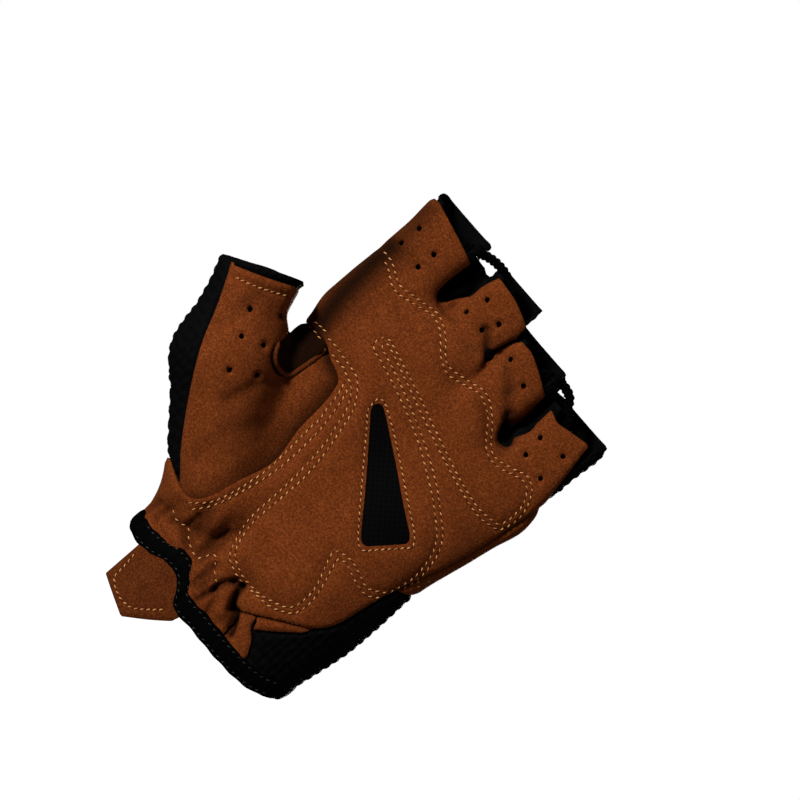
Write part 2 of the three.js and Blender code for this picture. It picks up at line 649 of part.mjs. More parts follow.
// Space below the cuff tape's upper edge
function belowCuff() {
  const rings = [];
  const drop = CUFF_DROP * HAND_LENGTH;
  const rise = BINDING_HEIGHT / 2 + SEAM_GAP;
  const reach = PALM_DEPTH / 2;
  for (let i = 0; i < CUFF_STEPS; i++) {
    const angle = (-i / CUFF_STEPS) * 2 * Math.PI;
    const on = wristOutline(angle, -WALL / 2);
    const outer = wristOutline(angle, reach);
    const inner = wristOutline(angle, -reach);
    const height = cuffHeight(on.x, on.y) + rise;
    rings.push([
      new THREE.Vector3(outer.x, outer.y, -drop),
      new THREE.Vector3(outer.x, outer.y, height),
      new THREE.Vector3(inner.x, inner.y, height),
      new THREE.Vector3(inner.x, inner.y, -drop),
    ]);
  }
  const floor = [
    [-CUFF_SIDES, -CUFF_DROP],
    [CUFF_SIDES, -CUFF_DROP],
    [CUFF_SIDES, CUFF_LOWEST],
    [-CUFF_SIDES, CUFF_LOWEST],
  ].map(place);
  return solid(loft(rings, true)).add(prism(floor));
}

// Cuff tape, a rounded band folded round the edge of the wrist
function cuffBinding() {
  const rings = [];
  for (let i = 0; i < CUFF_STEPS; i++) {
    const angle = (-i / CUFF_STEPS) * 2 * Math.PI;
    const on = wristOutline(angle, -WALL / 2);
    const ring = [];
    for (let s = 0; s < TAPE_SIDES; s++) {
      const turn = ((s + 0.5) / TAPE_SIDES) * 2 * Math.PI;
      const out = (rounded(Math.cos(turn), TAPE_ROUNDING.out) * BINDING_THICKNESS) / 2;
      const up = (rounded(Math.sin(turn), TAPE_ROUNDING.up) * BINDING_HEIGHT) / 2;
      const at = wristOutline(angle, -WALL / 2 + out);
      ring.push(new THREE.Vector3(at.x, at.y, cuffHeight(on.x, on.y) + up));
    }
    rings.push(ring);
  }
  return loft(rings, true);
}

// Suede tab that hangs below the cuff tape and follows the curve of the wrist
function pullTab() {
  const lowest = CUFF_LOWEST * HAND_LENGTH - PULL_TAB_LENGTH;
  const rings = [];
  for (let i = 0; i < CUFF_STEPS; i++) {
    const angle = (-i / CUFF_STEPS) * 2 * Math.PI;
    const outer = wristOutline(angle, -WALL / 2 + PULL_TAB_THICKNESS / 2);
    const inner = wristOutline(angle, -WALL / 2 - PULL_TAB_THICKNESS / 2);
    rings.push([
      new THREE.Vector3(outer.x, outer.y, lowest),
      new THREE.Vector3(outer.x, outer.y, BINDING_HEIGHT),
      new THREE.Vector3(inner.x, inner.y, BINDING_HEIGHT),
      new THREE.Vector3(inner.x, inner.y, lowest),
    ]);
  }
  const outline = PULL_TAB_OUTLINE.map(({ across, down }) => {
    return new THREE.Vector2(across * PALM_WIDTH, -down * PULL_TAB_LENGTH);
  });
  const first = outline[0].x;
  const last = outline.at(-1).x;
  const steps = 8;
  for (let i = 0; i <= steps; i++) {
    const x = last + ((first - last) * i) / steps;
    const edge = cuffHeight(x, -PALM_DEPTH) - BINDING_HEIGHT / 2 - 2 * SEAM_GAP;
    outline.push(new THREE.Vector2(x, edge));
  }
  return solid(loft(rings, true)).intersect(prism(outline, -FAR, 0));
}

function tube(points, diameter, sides) {
  const curve = new THREE.CatmullRomCurve3(points);
  const section = new THREE.Shape();
  for (let s = 0; s < sides; s++) {
    const angle = (s / sides) * 2 * Math.PI;
    const x = (Math.cos(angle) * diameter) / 2;
    const y = (Math.sin(angle) * diameter) / 2;
    if (s === 0) section.moveTo(x, y);
    else section.lineTo(x, y);
  }
  section.closePath();
  const steps = Math.ceil(curve.getLength() / diameter);
  return new THREE.ExtrudeGeometry(section, { steps, bevelEnabled: false, extrudePath: curve });
}

// A place inside a finger's tab where a cord lies against the wall
function cordEnd({ finger, side }, along) {
  const row = FINGERS.find(({ name }) => name === finger);
  const { x, y, z, radius } = fingerAt(row, along, WALL + CORD_CLEARANCE + CORD_DIAMETER / 2);
  return new THREE.Vector3(x + side * radius, y - Math.sqrt(1 - side * side) * radius, z);
}

function cord({ start, bridge, end }) {
  const over = bridge.map(
    (row) =>
      new THREE.Vector3(row.across * PALM_WIDTH, row.depth * PALM_DEPTH, row.along * HAND_LENGTH),
  );
  const rise = [cordEnd(start, start.low), cordEnd(start, start.high)];
  const fall = [cordEnd(end, end.high), cordEnd(end, end.low)];
  return tube([...rise, ...over, ...fall], CORD_DIAMETER, TAPE_SIDES);
}

function punch(wall, rows) {
  let cut = wall;
  for (const row of rows) {
    const middle = place(row);
    const corners = [];
    for (let s = 0; s < HOLE_SIDES; s++) {
      const angle = (s / HOLE_SIDES) * 2 * Math.PI;
      const x = middle.x + (Math.cos(angle) * HOLE_DIAMETER) / 2;
      corners.push(new THREE.Vector2(x, middle.y + (Math.sin(angle) * HOLE_DIAMETER) / 2));
    }
    cut = cut.subtract(prism(corners, -FAR, HOLE_REACH * PALM_DEPTH));
  }
  return cut;
}

const wall = gloveWall().subtract(belowCuff());
const suedeWall = wall.subtract(openings(0));
let knitWall = wall.subtract(openings(RIM_RISE));

// Suede panels. Each one is cut back from those before it by the seam gap.
const SUEDE_PANELS = [
  { name: "palm_panel", outline: PALM_OUTLINE, reach: PALM_REACH, holes: HOLES },
  { name: "web_gusset", outline: GUSSET_OUTLINE, reach: PALM_REACH, holes: [] },
  { name: "thumb_panel", outline: THUMB_OUTLINE, reach: THUMB_REACH, holes: THUMB_HOLES },
  { name: "side_strip", outline: SIDE_STRIP_OUTLINE, reach: STRIP_REACH, holes: [] },
  { name: "heel_strip", outline: HEEL_STRIP_OUTLINE, reach: 0, holes: [] },
  { name: "wrist_flap", outline: WRIST_FLAP_OUTLINE, reach: 0, holes: [] },
];
let suedeLeft = suedeWall;
for (const { name, outline, reach, holes } of SUEDE_PANELS) {
  let panel = suedeLeft.intersect(outlinePrism(outline, 0, reach));
  if (name === "palm_panel") panel = panel.subtract(outlinePrism(VENT_OUTLINE, 0, reach));
  addPiece(name, SUEDE, punch(panel, holes));
  const around = outlinePrism(outline, SEAM_GAP, reach);
  suedeLeft = suedeLeft.subtract(around);
  knitWall = knitWall.subtract(around);
}

// The knit stops where a suede tab's free end stands in front of it.
for (const finger of FINGERS) {
  const half = finger.width * TAB_SHARE * PALM_WIDTH;
  const middle = finger.across * PALM_WIDTH;
  const foot = (finger.top - TAB_HEIGHT) * HAND_LENGTH;
  const front = [
    new THREE.Vector2(middle - half, foot),
    new THREE.Vector2(middle + half, foot),
    new THREE.Vector2(middle + half, foot + FAR),
    new THREE.Vector2(middle - half, foot + FAR),
  ];
  knitWall = knitWall.subtract(prism(front, -FAR, finger.sink * PALM_DEPTH));
}
knitWall = knitWall.subtract(outlinePrism(THUMB_FRONT, 0, THUMB_REACH));

// Knit sleeves of the fingers, then the backs of the thumb and the hand
let handBack = knitWall;
FINGERS.forEach((finger, i) => {
  const [from, to] = [SLEEVE_LIMITS[i], SLEEVE_LIMITS[i + 1]];
  const footAt = (across) => readTable(WEBS, "across", "along", across) - SLEEVE_FOOT;
  const column = [
    [from, footAt(from)],
    [to, footAt(to)],
    [to, 2],
    [from, 2],
  ].map(place);
  const sleeve = knitWall.intersect(prism(offsetOutline(column, -SEAM_GAP / 2)));
  addPiece(finger.name + "_sleeve", KNIT, sleeve);
  handBack = handBack.subtract(prism(offsetOutline(column, SEAM_GAP / 2)));
});
const thumbBackRegion = THUMB_BACK_OUTLINE.map(place);
addPiece("thumb_back", KNIT, handBack.intersect(prism(offsetOutline(thumbBackRegion, -SEAM_GAP / 2))));
addPiece("hand_back", KNIT, handBack.subtract(prism(offsetOutline(thumbBackRegion, SEAM_GAP / 2))));

// Vent: a thinner sheet in the palm's window, a little below the suede
function ventMesh() {
  const corners = VENT_OUTLINE.map(place);
  const step = SURFACE_STEP / 2;
  const low = new THREE.Vector3(
    Math.min(...corners.map((c) => c.x)) - 3 * step,
    -1.45 * PALM_DEPTH,
    Math.min(...corners.map((c) => c.y)) - 3 * step,
  );
  const high = new THREE.Vector3(
    Math.max(...corners.map((c) => c.x)) + 3 * step,
    0,
    Math.max(...corners.map((c) => c.y)) + 3 * step,
  );
  const block = (p) =>
    Math.max(
      low.x + step * 1.2 - p.x,
      p.x - high.x + step * 1.2,
      low.z + step * 1.2 - p.z,
      p.z - high.z + step * 1.2,
      p.y + step * 1.2,
    );
  const skin = surfaceOf((p) => Math.max(handDistance(p), block(p)), low, high, step);
  const sheet = solid(insetOf(skin, VENT_RECESS)).subtract(solid(insetOf(skin, WALL)));
  return sheet.intersect(outlinePrism(VENT_OUTLINE, -SEAM_GAP, VENT_REACH));
}
addPiece("vent_mesh", KNIT, ventMesh());

// Rolled edge round the thumb crotch, lying on the gusset's seam
function crotchPiping() {
  const points = CROTCH_PIPING_ROUTE.map(place).map(({ x, y }) => {
    const { at, facing } = palmSurface(x, y);
    return at.addScaledVector(facing, PIPING_DIAMETER / 2 + SEAM_GAP);
  });
  return tube(points, PIPING_DIAMETER, 6);
}
addPiece("crotch_piping", SUEDE, crotchPiping());

addPiece("cuff_binding", TAPE, cuffBinding());
addPiece("pull_tab", SUEDE, pullTab());
for (const row of CORDS) addPiece(row.name, TAPE, cord(row));

export default group;
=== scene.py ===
"""Looks of a half-finger cycling glove for the left hand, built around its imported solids.

The glove is drawn in the solids' own frame: metres, +Z along the fingers, palm towards -Y and +X
towards the little finger. The hand form is a distance field made from short tables in millimetres.
A fine skin is taken from that field, outlines on the palm cut it into panels, and each panel gets
its own thickness, rolled edges, quilting, creases and stitches.
"""

import itertools
import logging
import math
from dataclasses import dataclass
from enum import Enum

import bpy
import numpy as np
from mathutils import Matrix, Vector
from mathutils.bvhtree import BVHTree

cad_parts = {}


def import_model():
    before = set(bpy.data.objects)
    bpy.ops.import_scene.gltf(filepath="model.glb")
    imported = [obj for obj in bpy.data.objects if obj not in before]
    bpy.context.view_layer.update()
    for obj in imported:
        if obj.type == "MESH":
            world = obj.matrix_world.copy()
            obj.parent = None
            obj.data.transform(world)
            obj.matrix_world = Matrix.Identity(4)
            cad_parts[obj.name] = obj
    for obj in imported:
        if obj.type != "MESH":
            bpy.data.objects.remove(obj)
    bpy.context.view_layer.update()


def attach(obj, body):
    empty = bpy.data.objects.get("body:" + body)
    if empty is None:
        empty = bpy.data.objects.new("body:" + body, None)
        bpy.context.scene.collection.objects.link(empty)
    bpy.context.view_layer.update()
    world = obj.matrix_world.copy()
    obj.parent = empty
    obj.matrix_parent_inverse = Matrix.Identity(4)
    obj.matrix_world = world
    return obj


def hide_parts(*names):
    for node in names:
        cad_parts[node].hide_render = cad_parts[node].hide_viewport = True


LOG = logging.getLogger("glove")
MM = 0.001
BODY = "root"

PALM_WIDTH = 92.0
HAND_LENGTH = 133.0
PALM_DEPTH = 30.0
WALL = 1.8

# The camera is rolled, so that the fingers point up to the right. These turn its picture, which is
# 800 wide, into places on the palm.
PICTURE_SCALE = 3.3
PICTURE_WRIST = (210.0, 608.0)
ROLL = (0.6561, 0.7547)
PALM_PLANE = -12.0

# Sections across the hand, in shares: along HAND_LENGTH, PALM_WIDTH to the left and right, and
# PALM_DEPTH to the palm and the back.
SECTIONS = (
    (-0.14, -0.378, 0.36, 0.65, 0.7),
    (0.0, -0.387, 0.383, 0.667, 0.7),
    (0.083, -0.396, 0.402, 0.733, 0.683),
    (0.165, -0.402, 0.418, 0.82, 0.65),
    (0.256, -0.408, 0.42, 0.82, 0.617),
    (0.376, -0.424, 0.419, 0.68, 0.583),
    (0.526, -0.503, 0.457, 0.54, 0.567),
    (0.662, -0.515, 0.489, 0.483, 0.55),
    (0.752, -0.515, 0.5, 0.45, 0.47),
    (0.9, -0.515, 0.495, 0.41, 0.33),
)
SQUARENESS = 2.5

# Joints down the middle of the thumb, in the same shares: across, depth, along and half width.
THUMB = (
    (-0.293, -0.4, 0.18, 0.152),
    (-0.587, -0.45, 0.398, 0.174),
    (-0.723, -0.5, 0.594, 0.136),
    (-0.815, -0.53, 0.735, 0.125),
)
THUMB_BLEND = 0.31

# Height of the webs between the fingers.
WEBS = ((-0.5, 0.8), (-0.287, 0.85), (-0.01, 0.825), (0.216, 0.765), (0.5, 0.7))
KNUCKLE_ROUNDING = 0.3

# Folds and dents that the solids have too: across and along of both ends, then depth and reach in
# shares of PALM_DEPTH.
FOLDS = (
    (-0.1, 0.2, 0.0, 0.56, 0.1, 0.5),
    (-0.3, 0.56, -0.26, 0.36, 0.08, 0.24),
    (-0.2, 0.07, -0.13, 0.17, 0.06, 0.17),
    (-0.31, 0.045, -0.31, 0.1, 0.04, 0.17),
    (0.06, 0.0, 0.017, 0.09, 0.08, 0.18),
    (-0.02, 0.76, -0.02, 0.84, 0.08, 0.17),
    (0.07, 0.88, 0.19, 0.74, 0.08, 0.17),
    (-0.7, 0.47, -0.6, 0.54, 0.04, 0.18),
)

# Height of the middle of the cuff tape on the palm side, in shares.
CUFF_WAVE = (
    (-0.4, 0.008),
    (-0.33, -0.002),
    (-0.27, 0.004),
    (-0.21, 0.02),
    (-0.16, 0.021),
    (-0.12, 0.002),
    (-0.08, -0.032),
    (0.0, -0.034),
    (0.16, -0.036),
    (0.28, -0.028),
    (0.4, 0.008),
)
CUFF_BACK = 0.008

# A distance in millimetres that is longer than any on the glove.
FAR = 999.0

Array = np.ndarray
Run = tuple[tuple[float, float], ...]


@dataclass(frozen=True)
class Finger:
    """One finger of the glove, in shares of the palm's width, the hand's length and the depth.

    Args:
        name: plain name of the finger.
        across: place of its middle line across the palm.
        width: half width at its foot.
        foot: height where its form starts.
        top: height of its suede tab.
        sink: how far back its middle line lies at the foot.
        lean: how far it leans along its form.
    """

    name: str
    across: float
    width: float
    foot: float
    top: float
    sink: float
    lean: float


FINGERS = (
    Finger("index", -0.411, 0.124, 0.62, 1.0, 0.05, -0.16),
    Finger("middle", -0.104, 0.11, 0.64, 0.99, 0.0, -0.12),
    Finger("ring", 0.101, 0.104, 0.62, 0.935, -0.01, -0.11),
    Finger("little", 0.355, 0.12, 0.6, 0.895, 0.04, -0.15),
)
SLEEVE_LIMITS = (-0.7, -0.28, -0.0105, 0.2185, 0.7)
FINGER_SPARE = 0.16
FINGER_TAPER = 0.06
FINGER_FLARE = 0.8
FLARE_HEIGHT = 0.09
FINGER_POWER = 3.4
FOOT_ROUNDING = 9.0
SLEEVE_FOOT = 0.075
TAB_HEIGHT = 0.1

# How far the knit rims stand above the suede tabs in millimetres, in front and behind, and the
# depths between which they rise.
FRONT_RISE = 1.2
RIM_RISE = 4.5
RIM_SLOPE = (-6, 6)

# Rounding of the joins in millimetres: within the thumb, between fingers, at the knit between them,
# and of fingers to hand.
THUMB_JOIN = 4.0
FINGER_JOIN = 1.5
FOURCHETTE_JOIN = 2.0
HAND_JOIN = 4.0

# The thumb's opening only cuts what lies further across than this share of PALM_WIDTH.
THUMB_SIDE_LIMIT = -0.556

# Where the suede ends in depth, in millimetres: on the palm, with its extra reach at the web and the
# places across between which that grows, then on the thumb, the side strip and the vent.
PALM_SIDE = 0.6
WEB_REACH = 2.6
WEB_SPAN = (37.0, 44.0)
THUMB_SIDE = -6.0
STRIP_SIDE = 6.0
VENT_SIDE = -4.0

# Knit between two fingers: place across and along in millimetres from foot to top, and half width.
FOURCHETTES = (
    (-23.4, 96.0, -24.2, 127.0, 4.4),
    (20.2, 92.0, 20.8, 122.0, 3.6),
)

# Edges of the suede palm, in millimetres across and along. A corner lies where two runs meet.
PALM_EDGE: tuple[Run, ...] = (
    ((-55, 98), (-48.8, 78.5)),
    (
        (-48.8, 78.5), (-39.4, 79.6), (-32.8, 77), (-27, 75), (-25.2, 71.4), (-24.1, 65.3),
        (-23.2, 55.6), (-20.8, 43.5), (-23.4, 31.1), (-25, 23.7), (-28.6, 18), (-33.7, 17.6),
    ),
    ((-33.7, 17.6), (-55, 17.6), (-55, -27), (8.4, -27), (7.9, 0.4), (5.0, 5.5)),
    (
        (5.0, 5.5), (8.2, 8.1), (12.3, 11), (16.3, 13.9), (21.4, 17.5), (25.7, 21), (28.9, 27),
        (30.9, 37.4),
        (33.7, 47.1), (35.4, 53.2), (38.9, 66.1), (40.7, 76.2), (42.1, 86.7), (43.3, 97.5),
    ),
    ((43.3, 97.5), (42, 102.2), (40.6, 108.7), (39.3, 114), (38.3, 118.9)),
    ((38.3, 118.9), (30.9, 117.2), (26.6, 116.2), (22.5, 117.4)),
    ((22.5, 117.4), (22.8, 111.9), (23.1, 107.5), (20.3, 102)),
    ((20.3, 102), (19.4, 104.5), (19.5, 111.6), (18.5, 118.8)),
    ((18.5, 118.8), (14.3, 120.7), (10.1, 122.6), (5.6, 124.2), (1.3, 124.7)),
    ((1.3, 124.7), (-0.1, 122.1), (-0.7, 117.9), (-0.2, 113.7), (-1.2, 110.4)),
    ((-1.2, 110.4), (-2.5, 114.2), (-2.1, 116.8), (-1.4, 120.9), (-0.2, 125.7), (-0.5, 128)),
    ((-0.5, 128), (-5.5, 129.7), (-10.3, 131), (-18.1, 131.8)),
    ((-18.1, 131.8), (-19.5, 126.5), (-20, 121.1), (-22.6, 115.8), (-25.2, 113.5)),
    ((-25.2, 113.5), (-26.9, 115), (-27.4, 119.5), (-26.8, 128.2)),
    ((-26.8, 128.2), (-37, 130.6), (-47.5, 133), (-56, 134.8)),
    ((-56, 134.8), (-55, 98)),
)
THUMB_EDGE: tuple[Run, ...] = (
    (
        (-74.5, 74.5), (-68.1, 64), (-61.1, 51.1), (-52.3, 38.2), (-43.6, 27.5), (-35.7, 19),
        (-33.7, 16),
    ),
    ((-33.7, 16), (-22, 16), (-16, 40), (-16, 80), (-47.8, 80), (-49.7, 88), (-54, 84.5)),
    ((-54, 84.5), (-62.9, 78.9), (-74.5, 72.8)),
)
GUSSET_EDGE: tuple[Run, ...] = (
    ((-50, 78), (-47.1, 71.8), (-46.2, 65.4), (-41.6, 62), (-37.8, 63), (-36.3, 68.5), (-36.4, 79)),
    ((-36.4, 79), (-36.4, 82), (-50, 82), (-50, 78)),
)
SIDE_STRIP_EDGE: tuple[Run, ...] = (
    ((33, 53), (34, 46.5), (42.3, 51.9), (51.5, 55.9)),
    ((51.5, 55.9), (51.5, 98.4), (43.3, 96.8)),
    ((43.3, 96.8), (36, 80), (33, 53)),
)
HEEL_STRIP_EDGE: tuple[Run, ...] = (
    (
        (12.4, 8.6), (13.4, 6.4), (16.3, 9.1), (18.9, 11.6), (21.4, 14.3), (23.7, 16.7),
        (24.8, 19), (25.7, 21),
    ),
    ((25.7, 21), (22, 22), (9, 13), (12.4, 8.6)),
)
WRIST_FLAP_EDGE: tuple[Run, ...] = (
    ((4, 9), (4, -26.6), (18.4, -26.6), (18.3, -0.5)),
    ((18.3, -0.5), (15.6, 3.4), (12.6, 5.8), (11.7, 7.6)),
    ((11.7, 7.6), (9.6, 10.6), (4, 9)),
)
VENT_PLACES: tuple[Run, ...] = (
    (
        (362.2, 540.5), (361.8, 533.3), (363, 518.3), (367.2, 470), (370, 428.3), (370.5, 414.2),
        (372.5, 407.5), (375, 405), (378.3, 403.8), (381.7, 405.3), (384.2, 409.2), (388.7, 428.3),
        (396.7, 466.7), (403.3, 501.7), (409.8, 531), (410.5, 538.3),
    ),
    ((410.5, 538.3), (409.2, 541.7), (405, 543.8), (378.3, 544.9), (368.3, 545.2)),
    ((368.3, 545.2), (365, 544), (362.2, 540.5)),
)
THUMB_TOP = ((-82.8, 69.4), (-49.7, 88.4))
THUMB_BACK_EDGE: tuple[Run, ...] = (
    ((-36.8, 10), (-37.3, 39.9), (-43.2, 61.2), (-47.4, 71.8), (-53.4, 106)),
    ((-53.4, 106), (-112, 106), (-112, 10), (-36.8, 10)),
)

# Punched holes in the tabs and the thumb, in millimetres across and along.
HOLES = (
    (-45.4, 123.3), (-45.7, 116.4), (-36.2, 121.4), (-36.6, 115.4), (-15.4, 124.6), (-17.0, 117.6),
    (-7.3, 122.4), (-9.5, 117.4), (2.8, 118.1), (11.7, 115.8), (26.7, 109.3), (27.8, 102.7),
    (35.6, 110.8), (36.2, 101.3), (-59.4, 68.9), (-51.8, 74.7), (-55.0, 61.8), (-48.6, 65.0),
    (-49.6, 52.4), (-43.1, 57.6),
)
HOLE_RADIUS = 0.88

# Creases and ridges by their places in the picture: depth and half width in millimetres, then the
# line. A ridge has a depth below zero.
# A crease's depth also paints shade in it, darker the deeper it is.
CREASES = (
    (1.0, 1.2, ((144, 512), (152, 507), (161, 503))),
    (0.9, 1.1, ((154, 520), (162, 515), (169, 510))),
    (1.3, 2.6, ((203, 555), (211, 549), (217, 544), (224, 538))),
    (0.8, 1.0, ((197, 552), (207, 546), (217, 538), (229, 530))),
    (0.7, 1.2, ((233, 534), (243, 530))),
    (1.1, 1.0, ((204, 577), (211, 571), (218, 563))),
    (1.5, 1.0, ((199, 598), (211, 592), (216, 587))),
    (1.0, 0.9, ((200, 587), (207, 582), (213, 577))),
    (1.9, 1.1, ((217, 589), (222, 584), (228, 581), (236, 581))),
    (1.1, 1.1, ((236, 581), (242, 585))),
    (3.0, 0.95, ((243, 586), (239, 591), (235.5, 598), (232.5, 607))),
    (2.9, 1.35, ((236, 610), (234.5, 620), (231, 632))),
    (-1.2, 2.0, ((230, 588), (226, 598), (222, 611))),
    (-0.9, 1.5, ((203, 575), (213, 560))),
    (1.1, 0.9, ((196, 583), (204, 573), (211, 562))),
    (0.9, 0.9, ((209, 612), (213, 603), (217, 596))),
    (-0.8, 1.3, ((203, 594), (212, 581))),
    (1.2, 1.1, ((172, 520), (180, 527), (186, 536), (190, 548))),
    (-0.8, 1.8, ((160, 520), (180, 543))),
    (0.8, 1.1, ((188, 527), (194, 521), (200, 516))),
    (1.2, 2.6, ((198, 530), (204, 517), (212, 510))),
    (-0.6, 2.2, ((214, 526), (226, 514))),
    (1.0, 1.0, ((205, 592), (208, 586))),
    (1.7, 1.3, ((487, 330), (488, 345), (489, 356))),
    (1.0, 1.7, ((506, 369), (508.5, 380), (509.5, 390))),
    (1.1, 2.0, ((509.5, 396), (509.5, 408), (508, 436))),
    (1.4, 2.2, ((511, 418), (509, 428), (507, 438))),
    (0.9, 2.4, ((506, 438), (503, 452))),
    (0.8, 1.2, ((441, 304), (447, 314), (456, 323))),
    (0.6, 2.4, ((225, 323), (262, 298))),
    (0.7, 2.0, ((230, 400), (262, 383), (285, 380))),
    (0.4, 2.6, ((200, 455), (232, 430), (258, 424))),
    (0.4, 2.2, ((470, 350), (497, 352))),
)


class Thread(Enum):
    """The kinds of stitch, each by the distance in millimetres from one stitch to the next."""

    SEAM = 2.25
    HEM = 1.95
    TACK = 2.6


# Stitch rows by their places in the picture.
STITCH_ROWS: tuple[tuple[Thread, Run], ...] = (
    (Thread.HEM, (
        (237, 279), (250, 285), (260, 289), (276, 294), (289, 297),
    )),
    (Thread.HEM, (
        (309, 316), (315, 322), (319, 325), (326.5, 332.5),
    )),
    (Thread.HEM, (
        (303.5, 319), (310.5, 328), (314, 331), (321, 340),
    )),
    (Thread.SEAM, (
        (327, 337), (332.5, 342.3), (337, 348), (342, 355), (346, 361), (349.8, 365.3),
        (353, 370.5), (356.7, 376.8), (357.7, 384), (357.3, 392), (356.3, 399.5), (354.5, 407),
        (351.9, 413.1), (348, 419.4), (341.9, 428.8), (327.8, 449.4), (308.4, 473.5),
        (283.4, 496), (258.4, 517.5), (249.8, 527.1), (242.5, 537.9), (239.5, 543.8),
        (237.3, 550), (237, 555.9), (239, 562.5), (244.1, 574.6), (253.1, 585), (262.5, 593.1),
        (275.3, 599.6), (281.9, 602.9), (288.4, 604.8), (295.6, 604), (301.3, 600.6),
        (312.5, 590.6), (319.8, 579.4), (328.5, 559.8), (332.3, 552.5), (336.5, 549.6),
        (342.3, 551.5), (348.8, 556), (354.4, 562.5), (360, 572.8), (365.6, 584.6),
        (370, 587.9), (378.4, 590.4), (387.5, 591.9), (394, 589.5), (405, 583.4),
        (411.3, 579.6), (421.3, 569.8), (430, 558), (434.4, 548.8), (436.9, 536.5),
        (436.6, 529.6), (433.4, 501.6), (426.9, 473.4), (419.6, 445.6), (409.2, 418),
        (396.7, 391.3), (382.8, 364.2), (378, 356.3), (374, 349.5), (374.5, 344),
        (377.5, 340.3), (381.5, 338.2), (387.2, 338.7), (392, 343.5), (402.8, 364.5),
        (417.5, 392.2), (431, 420.8), (445.4, 450.6), (459.4, 478.4), (475.6, 504.6),
        (485.6, 515), (496.5, 523.4), (500, 524.8), (507.5, 521.3), (514.4, 515.6),
        (522.9, 505.6), (526.9, 493.1), (526.3, 485.6), (522.9, 480.6), (511.9, 474),
        (500.6, 468.8), (491, 460.6), (487.3, 452.5), (486, 443.5), (487.5, 427.5),
        (488.1, 420), (487.5, 413.1), (481.3, 395.9), (472.8, 389.4), (451.7, 377.6),
        (445.3, 370.3), (441, 357.1), (440.7, 341.7), (439.7, 329.3), (435, 318.3),
        (430.3, 313.6), (406.7, 299.6), (400.3, 295), (394.3, 289.3), (391.1, 282.4),
        (388.3, 268.6), (384.3, 260),
    )),
    (Thread.SEAM, (
        (326.5, 347), (331, 352.5), (339, 363), (343.8, 368.3), (346.8, 375.7), (350, 382),
        (351.5, 389.7), (350.5, 397.5), (348.3, 405.5), (345.5, 412), (336.9, 425.6),
        (326.6, 441.6), (307.5, 464), (285.6, 486), (261.3, 507.5), (250.8, 518),
        (243.5, 527.9), (234.4, 545.6), (231.9, 551.9), (231.6, 557.1), (233.1, 562.1),
        (237.9, 573.1), (247.9, 585), (260.4, 595.3), (270, 603.4), (281.9, 608.5),
        (294.4, 611.1), (300, 609), (309.4, 602.5), (318.5, 591.9), (325.3, 580.6),
        (336, 560.6), (340, 557.5), (345, 560), (348.1, 563.8), (355, 578.1), (363.1, 590.6),
        (368.4, 594.4), (376.3, 596.5), (387.5, 596.3), (394.8, 592.8), (413.1, 583.1),
        (424.4, 573.1), (434, 561), (440.6, 548.1), (442.8, 533.5), (441.5, 519.8),
        (437.3, 488.8), (429.8, 460), (420, 430.8), (408, 400.8), (394.5, 372), (387.2, 357.5),
        (382.5, 349.5), (383, 345.6), (386.5, 344.3), (390, 347.5), (404.5, 377.5),
        (417.5, 405.3), (430.6, 432.8), (445, 461.3), (461.3, 490.9), (478.1, 515.9),
        (488.4, 524), (496.3, 529.1), (500, 530.3), (508.8, 526.3), (520, 518.1),
        (526.9, 508.1), (531.6, 495.6), (532.3, 487.8), (527.8, 476.3), (516.5, 470.6),
        (502.3, 463.1), (495.3, 457.9), (492.1, 452.5), (491.3, 438.5), (492.8, 423.1),
        (490, 402.1), (484, 391), (473.1, 383.8), (452.9, 370.7), (448.3, 364.6),
        (445.7, 359.3), (445.7, 345.7), (445, 332.6), (438.9, 315.3), (429.6, 307.1),
        (405.3, 290.3), (400, 285), (397.1, 278.9), (391.9, 261.9), (383, 250),
    )),
    (Thread.SEAM, (
        (344.7, 382.5), (336.5, 396.8), (328, 407.5), (319.4, 420), (311.3, 426.9),
        (291.3, 447.5), (268, 469.4), (254.4, 479), (241.3, 487.5), (225, 496.3),
        (209.4, 501.3), (188.8, 501.5),
    )),
    (Thread.SEAM, (
        (348.5, 388), (344.3, 396.5), (336.2, 409), (328.8, 418.8), (320.6, 429.4),
        (306, 444.6), (289.4, 459.8), (271.3, 474), (245.3, 489.6), (222.9, 501.3),
        (210.3, 505.6), (192.3, 508.5),
    )),
    (Thread.HEM, (
        (374, 402), (378.3, 399), (383.3, 400.8), (386.7, 407), (390.8, 421.3), (394.2, 434.2),
        (400, 460), (406.7, 495), (413.7, 528.3), (414.7, 536.7), (414.2, 542.5),
        (411.7, 546.7), (403.3, 547.7), (382.5, 548.7), (372.5, 549.2), (365, 549.8),
        (360.3, 546.7), (358.8, 540), (358.8, 528.3), (361.2, 493.3), (364.2, 456.7),
        (366.7, 428.3), (367.5, 412.5), (370, 406.7), (374, 402),
    )),
    (Thread.TACK, (
        (175, 507), (176, 515), (180.3, 521.3), (187.5, 525), (190.3, 528), (190, 536),
        (191.9, 546), (198.1, 557.1), (209.4, 554.8), (216, 553.8), (217.3, 559),
        (216.5, 571.5), (218.8, 583.1),
    )),
    (Thread.TACK, (
        (413, 583), (424, 582), (434, 583.5),
    )),
    (Thread.TACK, (
        (414, 586.3), (423, 587.7), (432, 588),
    )),
)
TAB_STITCHES = (
    (136, 553), (125, 566), (115, 576), (117, 588), (122, 597), (129, 604), (135, 607), (150, 608),
    (166, 608),
)
PULL_TAB_EDGE: tuple[Run, ...] = (
    ((-28.5, 2), (-28.5, -16.8)),
    ((-28.5, -16.8), (-15.8, -21.3)),
    ((-15.8, -21.3), (-9.6, -15.7), (-4.6, -10.6)),
    ((-4.6, -10.6), (-4.6, -4), (-16, 2), (-28.5, 2)),
)
PULL_TAB_LOWER = -0.5


